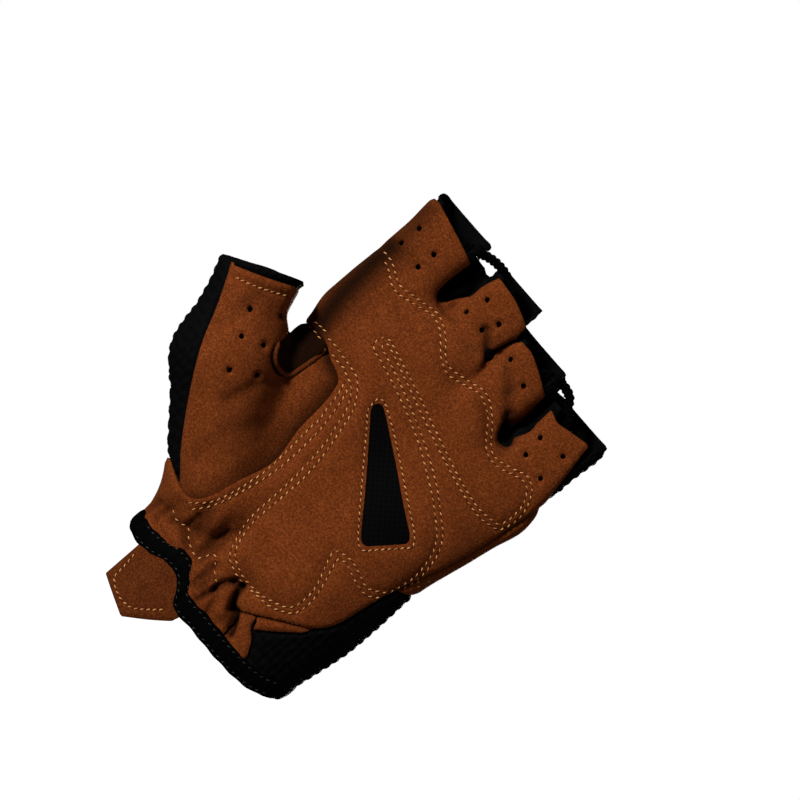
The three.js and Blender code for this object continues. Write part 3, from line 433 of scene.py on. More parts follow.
def picture_place(px: float, py: float) -> tuple[float, float]:
    """Gives the place on the palm, across and along in millimetres, seen at a place in the picture.

    Args:
        px: picture column, from the left.
        py: picture row, from the top.

    Returns:
        Across and along, in millimetres.
    """
    dx, dy = px - PICTURE_WRIST[0], py - PICTURE_WRIST[1]
    across = (ROLL[0] * dx + ROLL[1] * dy) / PICTURE_SCALE
    along = (ROLL[1] * dx - ROLL[0] * dy) / PICTURE_SCALE
    return across, along


def picture_line(row: Run) -> Array:
    """Gives a line on the palm by its places in the picture."""
    return np.array([picture_place(*p) for p in row])


def between(a: Array, b: Array, c: Array, d: Array, t: float) -> Array:
    """Gives a place on the smooth line through four others.

    Args:
        a: the place before the span.
        b: the span's start.
        c: its end.
        d: the place after it.
        t: share of the way from b to c.

    Returns:
        The place.
    """
    return (
        b * (2 * t**3 - 3 * t**2 + 1)
        + c * (3 * t**2 - 2 * t**3)
        + 0.5 * (c - a) * (t**3 - 2 * t**2 + t)
        + 0.5 * (d - b) * (t**3 - t**2)
    )


def smooth_run(points: Run | Array, pieces: int = 5) -> list[tuple[float, float]]:
    """Draws a smooth line through points, which it passes exactly.

    Args:
        points: places along the line.
        pieces: how many straight pieces join each pair of places.

    Returns:
        The line's places, its first and last being those given.
    """
    if len(points) < 3:
        return [tuple(p) for p in points]
    line = [points[0]]
    for i in range(1, len(points)):
        a = np.array(points[max(i - 2, 0)], float)
        b = np.array(points[i - 1], float)
        c = np.array(points[i], float)
        d = np.array(points[min(i + 1, len(points) - 1)], float)
        for step in range(1, pieces + 1):
            p = between(a, b, c, d, step / pieces)
            line.append((float(p[0]), float(p[1])))
    return line


def outline(runs: tuple[Run, ...]) -> Array:
    """Joins an edge's runs into one closed outline.

    Args:
        runs: smooth runs, each starting where the one before it ends.

    Returns:
        The outline's corners, one row each.
    """
    corners: list[tuple[float, float]] = []
    for run in runs:
        corners.extend(smooth_run(run)[:-1])
    return np.array(corners, float)


def edge_distance(x: Array, z: Array, corners: Array) -> Array:
    """Measures how far places lie from an outline, below zero inside it.

    Args:
        x: places across.
        z: places along.
        corners: the closed outline.

    Returns:
        The distances, in the places' own units.
    """
    nearest = np.full(x.shape, 1e9)
    inside = np.zeros(x.shape, bool)
    for a, b in zip(corners, np.roll(corners, -1, axis=0)):
        d = b - a
        length = float(d @ d)
        if length < 1e-12:
            continue
        t = np.clip(((x - a[0]) * d[0] + (z - a[1]) * d[1]) / length, 0, 1)
        nearest = np.minimum(nearest, np.hypot(x - a[0] - t * d[0], z - a[1] - t * d[1]))
        crosses = (a[1] > z) != (b[1] > z)
        if abs(d[1]) > 1e-12:
            inside ^= crosses & (x < a[0] + (z - a[1]) * d[0] / d[1])
    return np.where(inside, -nearest, nearest)


def line_distance(x: Array, z: Array, line: Array) -> tuple[Array, Array]:
    """Measures how far places lie from a line, and how far along it.

    Args:
        x: places across.
        z: places along.
        line: the line's places, one row each.

    Returns:
        The distance from the line, and the length along it to the nearest place.
    """
    nearest = np.full(x.shape, 1e9)
    travelled = np.zeros(x.shape)
    start = 0.0
    for a, b in zip(line[:-1], line[1:]):
        d = b - a
        length = float(np.hypot(*d))
        if length < 1e-9:
            continue
        t = np.clip(((x - a[0]) * d[0] + (z - a[1]) * d[1]) / length**2, 0, 1)
        away = np.hypot(x - a[0] - t * d[0], z - a[1] - t * d[1])
        closer = away < nearest
        nearest = np.where(closer, away, nearest)
        travelled = np.where(closer, start + t * length, travelled)
        start += length
    return nearest, travelled


def smoothstep(value: Array | float, low: float, high: float) -> Array:
    """Rises smoothly from 0 to 1 between two values."""
    t = np.clip((value - low) / (high - low), 0, 1)
    return t * t * (3 - 2 * t)


def smooth_min(a: Array, b: Array, k: float) -> Array:
    """The lesser of two fields, with a join rounded over k."""
    h = np.maximum(k - np.abs(a - b), 0) / k
    return np.minimum(a, b) - h * h * k / 4


def read_table(rows: tuple[tuple[float, ...], ...], column: int, at: Array) -> Array:
    """Reads a table's column at places in its first column, with smooth joins between the rows.

    Args:
        rows: the table, sorted by its first column.
        column: which column to read.
        at: places to read it at.

    Returns:
        One value for each place.
    """
    keys = np.array([row[0] for row in rows])
    values = np.array([row[column] for row in rows])
    slopes = np.empty(len(rows))
    for i in range(len(rows)):
        low, high = max(i - 1, 0), min(i + 1, len(rows) - 1)
        slopes[i] = (values[high] - values[low]) / (keys[high] - keys[low])
    at = np.clip(at, keys[0], keys[-1])
    i = np.clip(np.searchsorted(keys, at), 1, len(rows) - 1)
    span = keys[i] - keys[i - 1]
    t = (at - keys[i - 1]) / span
    return (
        values[i - 1] * (2 * t**3 - 3 * t**2 + 1)
        + slopes[i - 1] * span * (t**3 - 2 * t**2 + t)
        + values[i] * (3 * t**2 - 2 * t**3)
        + slopes[i] * span * (t**3 - t**2)
    )


@dataclass
class Skin:
    """A surface with the way that it faces at each of its points.

    Args:
        points: places in millimetres, one row each.
        facing: outward directions of length 1, one row each.
        faces: triangles, as rows of three point numbers.
        edge: distance of each point inside the panel's edge, in millimetres.
        cover: distance of each point from a panel that lies on top of this one.
    """

    points: Array
    facing: Array
    faces: Array
    edge: Array
    cover: Array

    def clipped(self, field: Array) -> "Skin":
        """Keeps the part where a field is below zero, cut exactly along its zero line.

        Args:
            field: one value for each point.

        Returns:
            The part that is kept, with the field turned round as its new edge distance.
        """
        inside = field < 0
        kept = inside[self.faces].sum(1)
        whole = self.faces[kept == 3]
        cut = self.faces[(kept == 1) | (kept == 2)]
        rows = np.hstack([self.points, self.facing, field[:, None], self.cover[:, None]])
        made: dict[tuple[int, int], int] = {}
        extra: list[Array] = []

        def crossing(a: int, b: int) -> int:
            """Number of the point where the edge between two points is cut."""
            key = (min(a, b), max(a, b))
            if key not in made:
                t = field[a] / (field[a] - field[b])
                made[key] = len(self.points) + len(extra)
                extra.append(rows[a] + (rows[b] - rows[a]) * t)
            return made[key]

        added = []
        for face in cut:
            face = [int(i) for i in face]
            order = [inside[i] for i in face]
            if sum(order) == 1:
                k = order.index(True)
                a, b, c = face[k], face[(k + 1) % 3], face[(k + 2) % 3]
                added.append((a, crossing(a, b), crossing(a, c)))
            else:
                k = order.index(False)
                a, b, c = face[k], face[(k + 1) % 3], face[(k + 2) % 3]
                ab, ca = crossing(a, b), crossing(a, c)
                added.append((ab, b, c))
                added.append((ab, c, ca))
        rows = np.vstack([rows, np.array(extra)]) if extra else rows
        faces = np.vstack([whole, np.array(added, int).reshape(-1, 3)])
        used, renumbered = np.unique(faces, return_inverse=True)
        rows = rows[used]
        facing = rows[:, 3:6] / np.linalg.norm(rows[:, 3:6], axis=1, keepdims=True)
        return Skin(rows[:, :3], facing, renumbered.reshape(-1, 3), -rows[:, 6], rows[:, 7])

    def rim(self) -> Array:
        """The open edges, as rows of two point numbers in the order of their faces."""
        pairs = np.vstack([self.faces[:, [0, 1]], self.faces[:, [1, 2]], self.faces[:, [2, 0]]])
        size = len(self.points)
        keys = pairs[:, 0] * size + pairs[:, 1]
        back = pairs[:, 1] * size + pairs[:, 0]
        return pairs[~np.isin(keys, back)]

    def without_scraps(self, least: int = 60) -> "Skin":
        """Leaves out loose scraps that a clip can cut off.

        Args:
            least: number of faces below which a separate piece is a scrap.

        Returns:
            The surface without its scraps.
        """
        label = np.arange(len(self.points))
        while True:
            lowest = label[self.faces].min(1)
            new = label.copy()
            for k in range(3):
                np.minimum.at(new, self.faces[:, k], lowest)
            new = new[new]
            if np.array_equal(new, label):
                break
            label = new
        groups, counts = np.unique(label[self.faces[:, 0]], return_counts=True)
        good = groups[counts >= least]
        faces = self.faces[np.isin(label[self.faces[:, 0]], good)]
        used, renumbered = np.unique(faces, return_inverse=True)
        faces = renumbered.reshape(-1, 3)
        return Skin(self.points[used], self.facing[used], faces, self.edge[used], self.cover[used])


class HandForm:
    """The form that the glove is drawn over, as a distance field in millimetres."""

    def palm(self, x: Array, y: Array, z: Array) -> Array:
        """Distance from the palm and back, without thumb and fingers."""
        along = z / HAND_LENGTH
        left = read_table(SECTIONS, 1, along) * PALM_WIDTH
        right = read_table(SECTIONS, 2, along) * PALM_WIDTH
        front = read_table(SECTIONS, 3, along) * PALM_DEPTH
        back = read_table(SECTIONS, 4, along) * PALM_DEPTH
        half_depth = np.where(y < 0, front, back)
        half_width = (right - left) / 2
        u = np.abs(x - (left + right) / 2) / half_width
        v = np.abs(y) / half_depth
        size = (u**SQUARENESS + v**SQUARENESS + 1e-9) ** (1 / SQUARENESS)
        slope_u = (u / size) ** (SQUARENESS - 1) / half_width
        slope_v = (v / size) ** (SQUARENESS - 1) / half_depth
        shell = (size - 1) / np.maximum(np.hypot(slope_u, slope_v), 0.5 / half_width)
        web = read_table(WEBS, 1, x / PALM_WIDTH) * HAND_LENGTH
        top = z - web
        bottom = SECTIONS[0][0] * HAND_LENGTH - z
        rounded = -smooth_min(-shell, -top, KNUCKLE_ROUNDING * PALM_DEPTH)
        return np.maximum(rounded, bottom)

    def thumb(self, x: Array, y: Array, z: Array) -> Array:
        """Distance from the thumb's cones."""
        joints = np.array(THUMB) * (PALM_WIDTH, PALM_DEPTH, HAND_LENGTH, PALM_WIDTH)
        nearest = None
        for a, b in zip(joints[:-1], joints[1:]):
            d = b[:3] - a[:3]
            t = ((x - a[0]) * d[0] + (y - a[1]) * d[1] + (z - a[2]) * d[2]) / float(d @ d)
            t = np.clip(t, 0, 1)
            away = np.sqrt(
                (x - a[0] - t * d[0]) ** 2 + (y - a[1] - t * d[1]) ** 2 + (z - a[2] - t * d[2]) ** 2
            )
            cone = away - (a[3] + (b[3] - a[3]) * t)
            nearest = cone if nearest is None else smooth_min(nearest, cone, THUMB_JOIN)
        return nearest

    def fold_depth(self, x: Array, z: Array) -> Array:
        """Depth of the large folds and dents at places on the palm side."""
        x, z = np.broadcast_arrays(x, z)
        depth = np.zeros(x.shape)
        for x0, z0, x1, z1, deep, reach in FOLDS:
            line = np.array([(x0 * PALM_WIDTH, z0 * HAND_LENGTH), (x1 * PALM_WIDTH, z1 * HAND_LENGTH)])
            away, _ = line_distance(x, z, line)
            depth += deep * PALM_DEPTH * np.exp(-((away / (reach * PALM_DEPTH)) ** 2))
        return depth

    def fingers(self, x: Array, y: Array, z: Array) -> Array:
        """Distance from the four finger sleeves and the knit between them."""
        nearest = np.full(np.broadcast(x, y, z).shape, 1e3)
        for finger in FINGERS:
            foot = finger.foot * HAND_LENGTH
            length = (finger.top + FINGER_SPARE - finger.foot) * HAND_LENGTH
            t = (z - foot) / length
            middle = (finger.sink + finger.lean * t) * PALM_DEPTH
            top = finger.top * HAND_LENGTH
            flare = smoothstep(z, (finger.top - FLARE_HEIGHT) * HAND_LENGTH, top)
            radius = finger.width * PALM_WIDTH * (1 - FINGER_TAPER * t) + FINGER_FLARE * flare
            dx, dy = np.abs(x - finger.across * PALM_WIDTH), np.abs(y - middle)
            away = (dx**FINGER_POWER + dy**FINGER_POWER) ** (1 / FINGER_POWER) - radius
            away = -smooth_min(-away, z - foot, FOOT_ROUNDING)
            nearest = smooth_min(nearest, away, FINGER_JOIN)
        for x0, z0, x1, z1, half in FOURCHETTES:
            t = np.clip((z - z0) / (z1 - z0), 0, 1)
            away = np.sqrt((x - x0 - t * (x1 - x0)) ** 2 + y**2 + (z - z0 - t * (z1 - z0)) ** 2)
            nearest = smooth_min(nearest, away - half, FOURCHETTE_JOIN)
        return nearest

    def distance(self, x: Array, y: Array, z: Array) -> Array:
        """Distance from the whole form, below zero inside it."""
        hand = smooth_min(self.palm(x, y, z), self.thumb(x, y, z), THUMB_BLEND * PALM_DEPTH)
        front = smoothstep(-y, 0, PALM_DEPTH / 3)
        hand = hand + self.fold_depth(x, z) * front
        return smooth_min(hand, self.fingers(x, y, z), HAND_JOIN)

    def slope(self, points: Array) -> Array:
        """Direction and rate in which the distance grows at each point."""
        step = 0.15
        rows = []
        for axis in range(3):
            ahead, behind = points.copy(), points.copy()
            ahead[:, axis] += step
            behind[:, axis] -= step
            rows.append((self.distance(*ahead.T) - self.distance(*behind.T)) / (2 * step))
        return np.stack(rows, 1)

    def skin(self, low: tuple[float, float, float], high: tuple[float, float, float], step: float) -> Skin:
        """Takes the surface from the field, one point in each crossed cell of a grid.

        Args:
            low: lowest corner of the grid, in millimetres.
            high: highest corner.
            step: size of a cell.

        Returns:
            The closed surface.
        """
        axes = [np.arange(a, b, step) for a, b in zip(low, high)]
        x, y, z = np.meshgrid(*axes, indexing="ij")
        values = self.distance(x, y, z)
        inside = values < 0
        cells = tuple(n - 1 for n in values.shape)
        count = np.zeros(cells, np.int8)
        for i, j, k in itertools.product((0, 1), repeat=3):
            count += inside[i : cells[0] + i, j : cells[1] + j, k : cells[2] + k]
        active = (count > 0) & (count < 8)
        number = np.full(cells, -1, np.int64)
        number[active] = np.arange(active.sum())
        base = np.argwhere(active)
        total = np.zeros((len(base), 3))
        crossings = np.zeros(len(base))
        for axis in range(3):
            for i, j in itertools.product((0, 1), repeat=2):
                corner = [i, j]
                corner.insert(axis, 0)
                a = base + corner
                b = a.copy()
                b[:, axis] += 1
                va, vb = values[tuple(a.T)], values[tuple(b.T)]
                crossed = (va < 0) != (vb < 0)
                place = a.astype(float)
                place[crossed, axis] += va[crossed] / (va[crossed] - vb[crossed])
                total[crossed] += place[crossed]
                crossings += crossed
        points = np.array(low) + step * total / crossings[:, None]
        faces = []
        for axis in range(3):
            u, v = np.eye(3, dtype=int)[(axis + 1) % 3], np.eye(3, dtype=int)[(axis + 2) % 3]
            first = [slice(1, -1)] * 3
            second = [slice(1, -1)] * 3
            first[axis], second[axis] = slice(0, -1), slice(1, None)
            turned = inside[tuple(first)] != inside[tuple(second)]
            shift = np.ones(3, int)
            shift[axis] = 0
            at = np.argwhere(turned) + shift
            ring = [number[tuple((at - u - v).T)], number[tuple((at - v).T)]]
            ring += [number[tuple(at.T)], number[tuple((at - u).T)]]
            quads = np.stack(ring, 1)
            outward = inside[tuple(at.T)]
            quads[~outward] = quads[~outward][:, ::-1]
            faces += [quads[:, [0, 1, 2]], quads[:, [0, 2, 3]]]
        for _ in range(3):
            slope = self.slope(points)
            gap = self.distance(*points.T)
            points = points - slope * (gap / np.maximum((slope**2).sum(1), 0.2))[:, None] * 0.9
        slope = self.slope(points)
        facing = slope / np.maximum(np.linalg.norm(slope, axis=1, keepdims=True), 1e-6)
        triangles = np.vstack(faces)
        far = np.full(len(points), FAR)
        return Skin(points, facing, triangles, far, far)


def add_node(tree: bpy.types.NodeTree, kind: str, settings: dict, links: dict) -> bpy.types.Node:
    """Adds a node with its settings, values and links.

    Args:
        tree: the node tree.
        kind: the node's type name.
        settings: attributes by name, or input values by socket name.
        links: input socket name or number, to the output that feeds it.

    Returns:
        The new node.
    """
    node = tree.nodes.new(kind)
    for key, value in settings.items():
        if isinstance(key, str) and hasattr(node, key):
            setattr(node, key, value)
        else:
            node.inputs[key].default_value = value
    for key, output in links.items():
        tree.links.new(output, node.inputs[key])
    return node


def linear(code: str) -> tuple[float, float, float, float]:
    """Turns an sRGB hex colour into the linear colour that a node takes."""
    parts = [int(code[i : i + 2], 16) / 255 for i in (1, 3, 5)]
    turned = [c / 12.92 if c <= 0.04045 else ((c + 0.055) / 1.055) ** 2.4 for c in parts]
    return (*turned, 1.0)


def start_material(name: str) -> tuple[bpy.types.Material, bpy.types.NodeTree, bpy.types.Node]:
    """Starts a material made of nodes.

    Args:
        name: the material's name.

    Returns:
        The material, its node tree and its shader.
    """
    material = bpy.data.materials.new(name)
    material.use_nodes = True
    tree = material.node_tree
    return material, tree, tree.nodes["Principled BSDF"]


def set_inputs(node: bpy.types.Node, values: dict[str, float | tuple]) -> None:
    """Sets a node's own values by socket name."""
    for key, value in values.items():
        node.inputs[key].default_value = value


def set_stops(ramp: bpy.types.Node, *stops: tuple[float, str]) -> None:
    """Sets the colours along a ramp.

    Args:
        ramp: the ramp's node.
        stops: the first, the last and then any others, each a place from 0 to 1 and a colour.
    """
    elements = ramp.color_ramp.elements
    for number, (place, colour) in enumerate(stops):
        element = elements[number] if number < 2 else elements.new(place)
        element.position = place
        element.color = linear(colour)


@dataclass(frozen=True)
class Suede:
    """Synthetic suede, brushed to a short nap: dead matt, a little mottled, paler where it is rubbed.

    Args:
        name: the material's name.
        dark: colour where the nap lies away from the light.
        mid: its main colour.
        light: colour where the nap is raised.
        shade_paint: colour of the painted shade in creases, at laps and in painted shadows.
        mottle_mm: size of the brushed patches.
        nap_mm: size of the fibre tufts, drawn about twice as coarse as they are, to show.
    """

    name: str = "brushed synthetic suede"
    dark: str = "#482009"
    mid: str = "#632d10"
    light: str = "#7e411b"
    shade_paint: str = "#090401"
    mottle_mm: float = 8.0
    nap_mm: float = 0.6

    def make(self) -> bpy.types.Material:
        """Builds the material."""
        material, tree, shader = start_material(self.name)
        place = add_node(tree, "ShaderNodeTexCoord", {}, {}).outputs["Object"]
        mottle = add_node(
            tree,
            "ShaderNodeTexNoise",
            {"Scale": 1 / (self.mottle_mm * MM), "Detail": 4.0, "Roughness": 0.65},
            {"Vector": place},
        )
        nap = add_node(
            tree,
            "ShaderNodeTexNoise",
            {"Scale": 1 / (self.nap_mm * MM), "Detail": 2.0, "Roughness": 0.7},
            {"Vector": place},
        )
        both = add_node(
            tree,
            "ShaderNodeMix",
            {"data_type": "FLOAT", 0: 0.82},
            {2: mottle.outputs["Fac"], 3: nap.outputs["Fac"]},
        )
        ramp = add_node(tree, "ShaderNodeValToRGB", {}, {"Fac": both.outputs[0]})
        set_stops(ramp, (0.33, self.dark), (0.68, self.light), (0.5, self.mid))
        # Painted shade: a value on each piece mixes the suede towards the dark shade colour.
        painted_shade = add_node(tree, "ShaderNodeAttribute", {"attribute_name": "painted_shade"}, {})
        shade_paint = add_node(
            tree,
            "ShaderNodeMix",
            {"data_type": "RGBA", 7: linear(self.shade_paint)},
            {0: painted_shade.outputs["Fac"], 6: ramp.outputs["Color"]},
        )
        tree.links.new(shade_paint.outputs[2], shader.inputs["Base Color"])
        bump = add_node(
            tree,
            "ShaderNodeBump",
            {"Strength": 0.5, "Distance": 0.25 * MM},
            {"Height": nap.outputs["Fac"]},
        )
        tree.links.new(bump.outputs["Normal"], shader.inputs["Normal"])
        gloss = {"Roughness": 0.95, "Specular IOR Level": 0.04}
        sheen = {"Sheen Weight": 0.06, "Sheen Roughness": 0.5, "Sheen Tint": linear("#b06a3a")}
        set_inputs(shader, gloss | sheen)
        return material


@dataclass(frozen=True)
class KnitCotton:
    """Black cotton yarn, crocheted in rows: matt, with a painted highlight on each loop and painted shade
    between them.

    Args:
        name: the material's name.
        low: colour of the painted shade between the loops.
        high: colour of the painted highlight on the loops.
        yarn_mm: width of a strand of the yarn's ply.
    """

    name: str = "crocheted cotton"
    low: str = "#010101"
    high: str = "#050506"
    yarn_mm: float = 0.7

    def make(self) -> bpy.types.Material:
        """Builds the material."""
        material, tree, shader = start_material(self.name)
        place = add_node(tree, "ShaderNodeTexCoord", {}, {}).outputs["Object"]
        ply = add_node(
            tree,
            "ShaderNodeTexNoise",
            {"Scale": 1 / (self.yarn_mm * MM), "Detail": 3.0, "Roughness": 0.6},
            {"Vector": place},
        )
        # The loops' height paints a highlight on each loop and shade between them.
        relief = add_node(tree, "ShaderNodeAttribute", {"attribute_name": "relief"}, {})
        shade = add_node(
            tree,
            "ShaderNodeMath",
            {"operation": "MULTIPLY_ADD", 1: 0.75},
            {0: relief.outputs["Fac"], 2: ply.outputs["Fac"]},
        )
        ramp = add_node(tree, "ShaderNodeValToRGB", {}, {"Fac": shade.outputs[0]})
        set_stops(ramp, (0.4, self.low), (0.92, self.high))
        tree.links.new(ramp.outputs["Color"], shader.inputs["Base Color"])
        bump = add_node(
            tree,
            "ShaderNodeBump",
            {"Strength": 0.8, "Distance": 0.3 * MM},
            {"Height": ply.outputs["Fac"]},
        )
        tree.links.new(bump.outputs["Normal"], shader.inputs["Normal"])
        set_inputs(shader, {"Roughness": 0.8, "Specular IOR Level": 0.04})
        return material


@dataclass(frozen=True)
class PerforatedMesh:
    """Black perforated polyester sheet: rows of punched dots, slightly glossier than the knit.

    Args:
        name: the material's name.
        sheet: colour of the sheet.
        hole: colour in its holes.
        pitch_mm: spacing of the dots.
    """

    name: str = "perforated polyester"
    sheet: str = "#050506"
    hole: str = "#020202"
    pitch_mm: float = 1.5

    def make(self) -> bpy.types.Material:
        """Builds the material."""
        material, tree, shader = start_material(self.name)
        place = add_node(tree, "ShaderNodeTexCoord", {}, {}).outputs["Object"]
        parts = add_node(tree, "ShaderNodeSeparateXYZ", {}, {"Vector": place})
        flat = add_node(
            tree,
            "ShaderNodeCombineXYZ",
            {},
            {"X": parts.outputs["X"], "Y": parts.outputs["Z"]},
        )
        turned = add_node(
            tree,
            "ShaderNodeMapping",
            {"Rotation": (0, 0, math.radians(45)), "Scale": (1 / (self.pitch_mm * MM),) * 3},
            {"Vector": flat.outputs[0]},
        )
        dots = add_node(
            tree,
            "ShaderNodeTexVoronoi",
            {"voronoi_dimensions": "2D", "Scale": 1.0, "Randomness": 0.0},
            {"Vector": turned.outputs[0]},
        )
        ramp = add_node(tree, "ShaderNodeValToRGB", {}, {"Fac": dots.outputs["Distance"]})
        set_stops(ramp, (0.22, self.hole), (0.32, self.sheet))
        tree.links.new(ramp.outputs["Color"], shader.inputs["Base Color"])
        bump = add_node(
            tree,
            "ShaderNodeBump",
            {"Strength": 0.6, "Distance": 0.3 * MM},
            {"Height": ramp.outputs["Color"]},
        )
        tree.links.new(bump.outputs["Normal"], shader.inputs["Normal"])
        set_inputs(shader, {"Roughness": 0.7, "Specular IOR Level": 0.02})
        return material


@dataclass(frozen=True)
class WovenTape:
    """Black polyester tape and braid: fine ribs across it and a soft sheen.

    Args:
        name: the material's name.
        low: colour between the ribs.
        high: colour on the ribs.
        rib_mm: spacing of the ribs.
    """

    name: str = "woven polyester tape"
    low: str = "#010101"
    high: str = "#040505"
    rib_mm: float = 0.7

    def make(self) -> bpy.types.Material:
        """Builds the material."""
        material, tree, shader = start_material(self.name)
        along = add_node(tree, "ShaderNodeAttribute", {"attribute_name": "along"}, {})
        turns = add_node(
            tree,
            "ShaderNodeMath",
            {"operation": "MULTIPLY", 1: 2 * math.pi / self.rib_mm},
            {0: along.outputs["Fac"]},
        )
        ribs = add_node(tree, "ShaderNodeMath", {"operation": "SINE"}, {0: turns.outputs[0]})
        place = add_node(tree, "ShaderNodeTexCoord", {}, {}).outputs["Object"]
        fuzz = add_node(
            tree, "ShaderNodeTexNoise", {"Scale": 1 / (0.5 * MM), "Detail": 2.0}, {"Vector": place}
        )
        height = add_node(
            tree,
            "ShaderNodeMath",
            {"operation": "MULTIPLY_ADD", 1: 0.14},
            {0: ribs.outputs[0], 2: fuzz.outputs["Fac"]},
        )
        ramp = add_node(tree, "ShaderNodeValToRGB", {}, {"Fac": height.outputs[0]})
        set_stops(ramp, (0.3, self.low), (0.85, self.high))
        tree.links.new(ramp.outputs["Color"], shader.inputs["Base Color"])
        bump = add_node(
            tree,
            "ShaderNodeBump",
            {"Strength": 0.35, "Distance": 0.15 * MM},
            {"Height": height.outputs[0]},
        )
        tree.links.new(bump.outputs["Normal"], shader.inputs["Normal"])
        set_inputs(shader, {"Roughness": 0.7, "Specular IOR Level": 0.012})
        return material


@dataclass(frozen=True)
class SewingThread:
    """Golden-tan polyester thread: smooth and slightly shiny against the suede.

    Args:
        name: the material's name.
        shade: colour between its plies.
        colour: colour of the thread.
    """

    name: str = "tan polyester thread"
    shade: str = "#a2642f"
    colour: str = "#d89c5e"

    def make(self) -> bpy.types.Material:
        """Builds the material."""
        material, tree, shader = start_material(self.name)
        place = add_node(tree, "ShaderNodeTexCoord", {}, {}).outputs["Object"]
        twist = add_node(
            tree, "ShaderNodeTexNoise", {"Scale": 1 / (1.5 * MM), "Detail": 2.0}, {"Vector": place}
        )
        ramp = add_node(tree, "ShaderNodeValToRGB", {}, {"Fac": twist.outputs["Fac"]})
        set_stops(ramp, (0.35, self.shade), (0.65, self.colour))
        tree.links.new(ramp.outputs["Color"], shader.inputs["Base Color"])
        set_inputs(shader, {"Roughness": 0.5, "Specular IOR Level": 0.4})
        return material


@dataclass(frozen=True)
class NeedleHoleShade:
    """Painted shade for the needle holes: a dark flat colour where the needle went through.

    Args:
        name: the material's name.
        colour: its colour.
    """

    name: str = "painted needle-hole shade"
    colour: str = "#3a1a0b"

    def make(self) -> bpy.types.Material:
        """Builds the material."""
        material, _, shader = start_material(self.name)
        gloss = {"Roughness": 1.0, "Specular IOR Level": 0.0}
        set_inputs(shader, {"Base Color": linear(self.colour)} | gloss)
        return material


def make_piece(
    name: str,
    points: Array,
    faces: Array,
    material: bpy.types.Material,
    attributes: dict[str, Array] | None = None,
) -> bpy.types.Object:
    """Makes a smooth mesh object from points in millimetres.

    Args:
        name: the piece's name.
        points: places, one row each.
        faces: triangles or quads, one row each.
        material: its finish.
        attributes: values for each point, by name.

    Returns:
        The object, at the origin.
    """
    mesh = bpy.data.meshes.new(name)
    sides = faces.shape[1]
    mesh.vertices.add(len(points))
    mesh.vertices.foreach_set("co", (points * MM).astype(np.float32).ravel())
    mesh.loops.add(faces.size)
    mesh.loops.foreach_set("vertex_index", faces.astype(np.int32).ravel())
    mesh.polygons.add(len(faces))
    mesh.polygons.foreach_set("loop_start", np.arange(0, faces.size, sides, dtype=np.int32))
    mesh.update(calc_edges=True)
    mesh.shade_smooth()
    for key, values in (attributes or {}).items():
        layer = mesh.attributes.new(key, "FLOAT", "POINT")
        layer.data.foreach_set("value", values.astype(np.float32))
    mesh.materials.append(material)
    piece = bpy.data.objects.new(name, mesh)
    bpy.context.scene.collection.objects.link(piece)
    return piece


def sheet_of(skin: Skin, outer: Array, inner: Array) -> tuple[Array, Array]:
    """Gives a surface its thickness, with a wall round each open edge.

    Args:
        skin: the surface.
        outer: how far out its outer side lies at each point, in millimetres.
        inner: the same for its inner side.

    Returns:
        Points and triangles of the closed sheet.
    """
    count = len(skin.points)
    points = np.vstack(
        [
            skin.points + skin.facing * outer[:, None],
            skin.points + skin.facing * inner[:, None],
        ]
    )
    rim = skin.rim()
    a, b = rim[:, 0], rim[:, 1]
    walls = np.vstack(
        [np.stack([b, a, a + count], 1), np.stack([b, a + count, b + count], 1)]
    )
    return points, np.vstack([skin.faces, skin.faces[:, ::-1] + count, walls])


def rings_round(middle: Array, side: Array, up: Array, sides: int, wide: float, thick: float) -> Array:
    """Places a ring of points round each place of a line.

    Args:
        middle: the line's places.
        side: directions across the line.
        up: directions across both.
        sides: points in a ring.
        wide: the ring's reach along side.
        thick: its reach along up.

    Returns:
        The rings' points, one ring after the other.
    """
    ring = []
    for s in range(sides):
        turn = s / sides * 2 * math.pi
        ring.append(middle + side * math.cos(turn) * wide + up * math.sin(turn) * thick)
    return np.stack(ring, 1).reshape(-1, 3)


def tube_faces(count: int, sides: int, start: int = 0, turned: bool = False) -> list[tuple[int, ...]]:
    """Joins rings of points into a tube with closed ends.

    Args:
        count: number of rings.
        sides: points in a ring.
        start: number of the first point.
        turned: whether the rings run the other way round the line.

    Returns:
        Triangles that face outwards.
    """
    faces = []
    for r in range(count - 1):
        for s in range(sides):
            a = start + r * sides + s
            b = start + r * sides + (s + 1) % sides
            faces.append((a, a + sides, b + sides))
            faces.append((a, b + sides, b))
    for first, step in ((start, 1), (start + (count - 1) * sides, -1)):
        corner = [first + s for s in range(sides)][::step]
        faces += [(corner[0], corner[s], corner[s + 1]) for s in range(1, sides - 1)]
    return [face[::-1] for face in faces] if turned else faces


@dataclass(frozen=True)
class Lap:
    """How a lower panel lies beside the panel on top of it, and the shade painted on it there.

    Args:
        drop_mm: how far it dips at the upper panel's edge.
        reach_mm: how far from that edge the dip starts.
        shade: how dark the painted shade is in the dip, from 0 to 1.
        fade_mm: heights between which the dip grows from weak to full.
        gloom: how dark the painted shade is all over the panel.
        weakest: strength of the dip where it is weak, from 0 to 1.
        under_mm: how far under the upper panel the dip goes on growing.
        shade_reach: how far the shade reaches, as a share of the dip's reach.
    """

    drop_mm: float
    reach_mm: float
    shade: float
    fade_mm: tuple[float, float] = (-60.0, -50.0)
    gloom: float = 0.0
    weakest: float = 0.3
    under_mm: float = 0.6
    shade_reach: float = 0.7


# Each lap paints shade in its dip; the gusset is also painted dark all over as painted shade.
GUSSET_LAP = Lap(1.2, 2.0, 0.9, gloom=0.96)
THUMB_LAP = Lap(2.8, 6.5, 0.85, (28.0, 52.0))
STRIP_LAP = Lap(1.7, 1.6, 0.8)

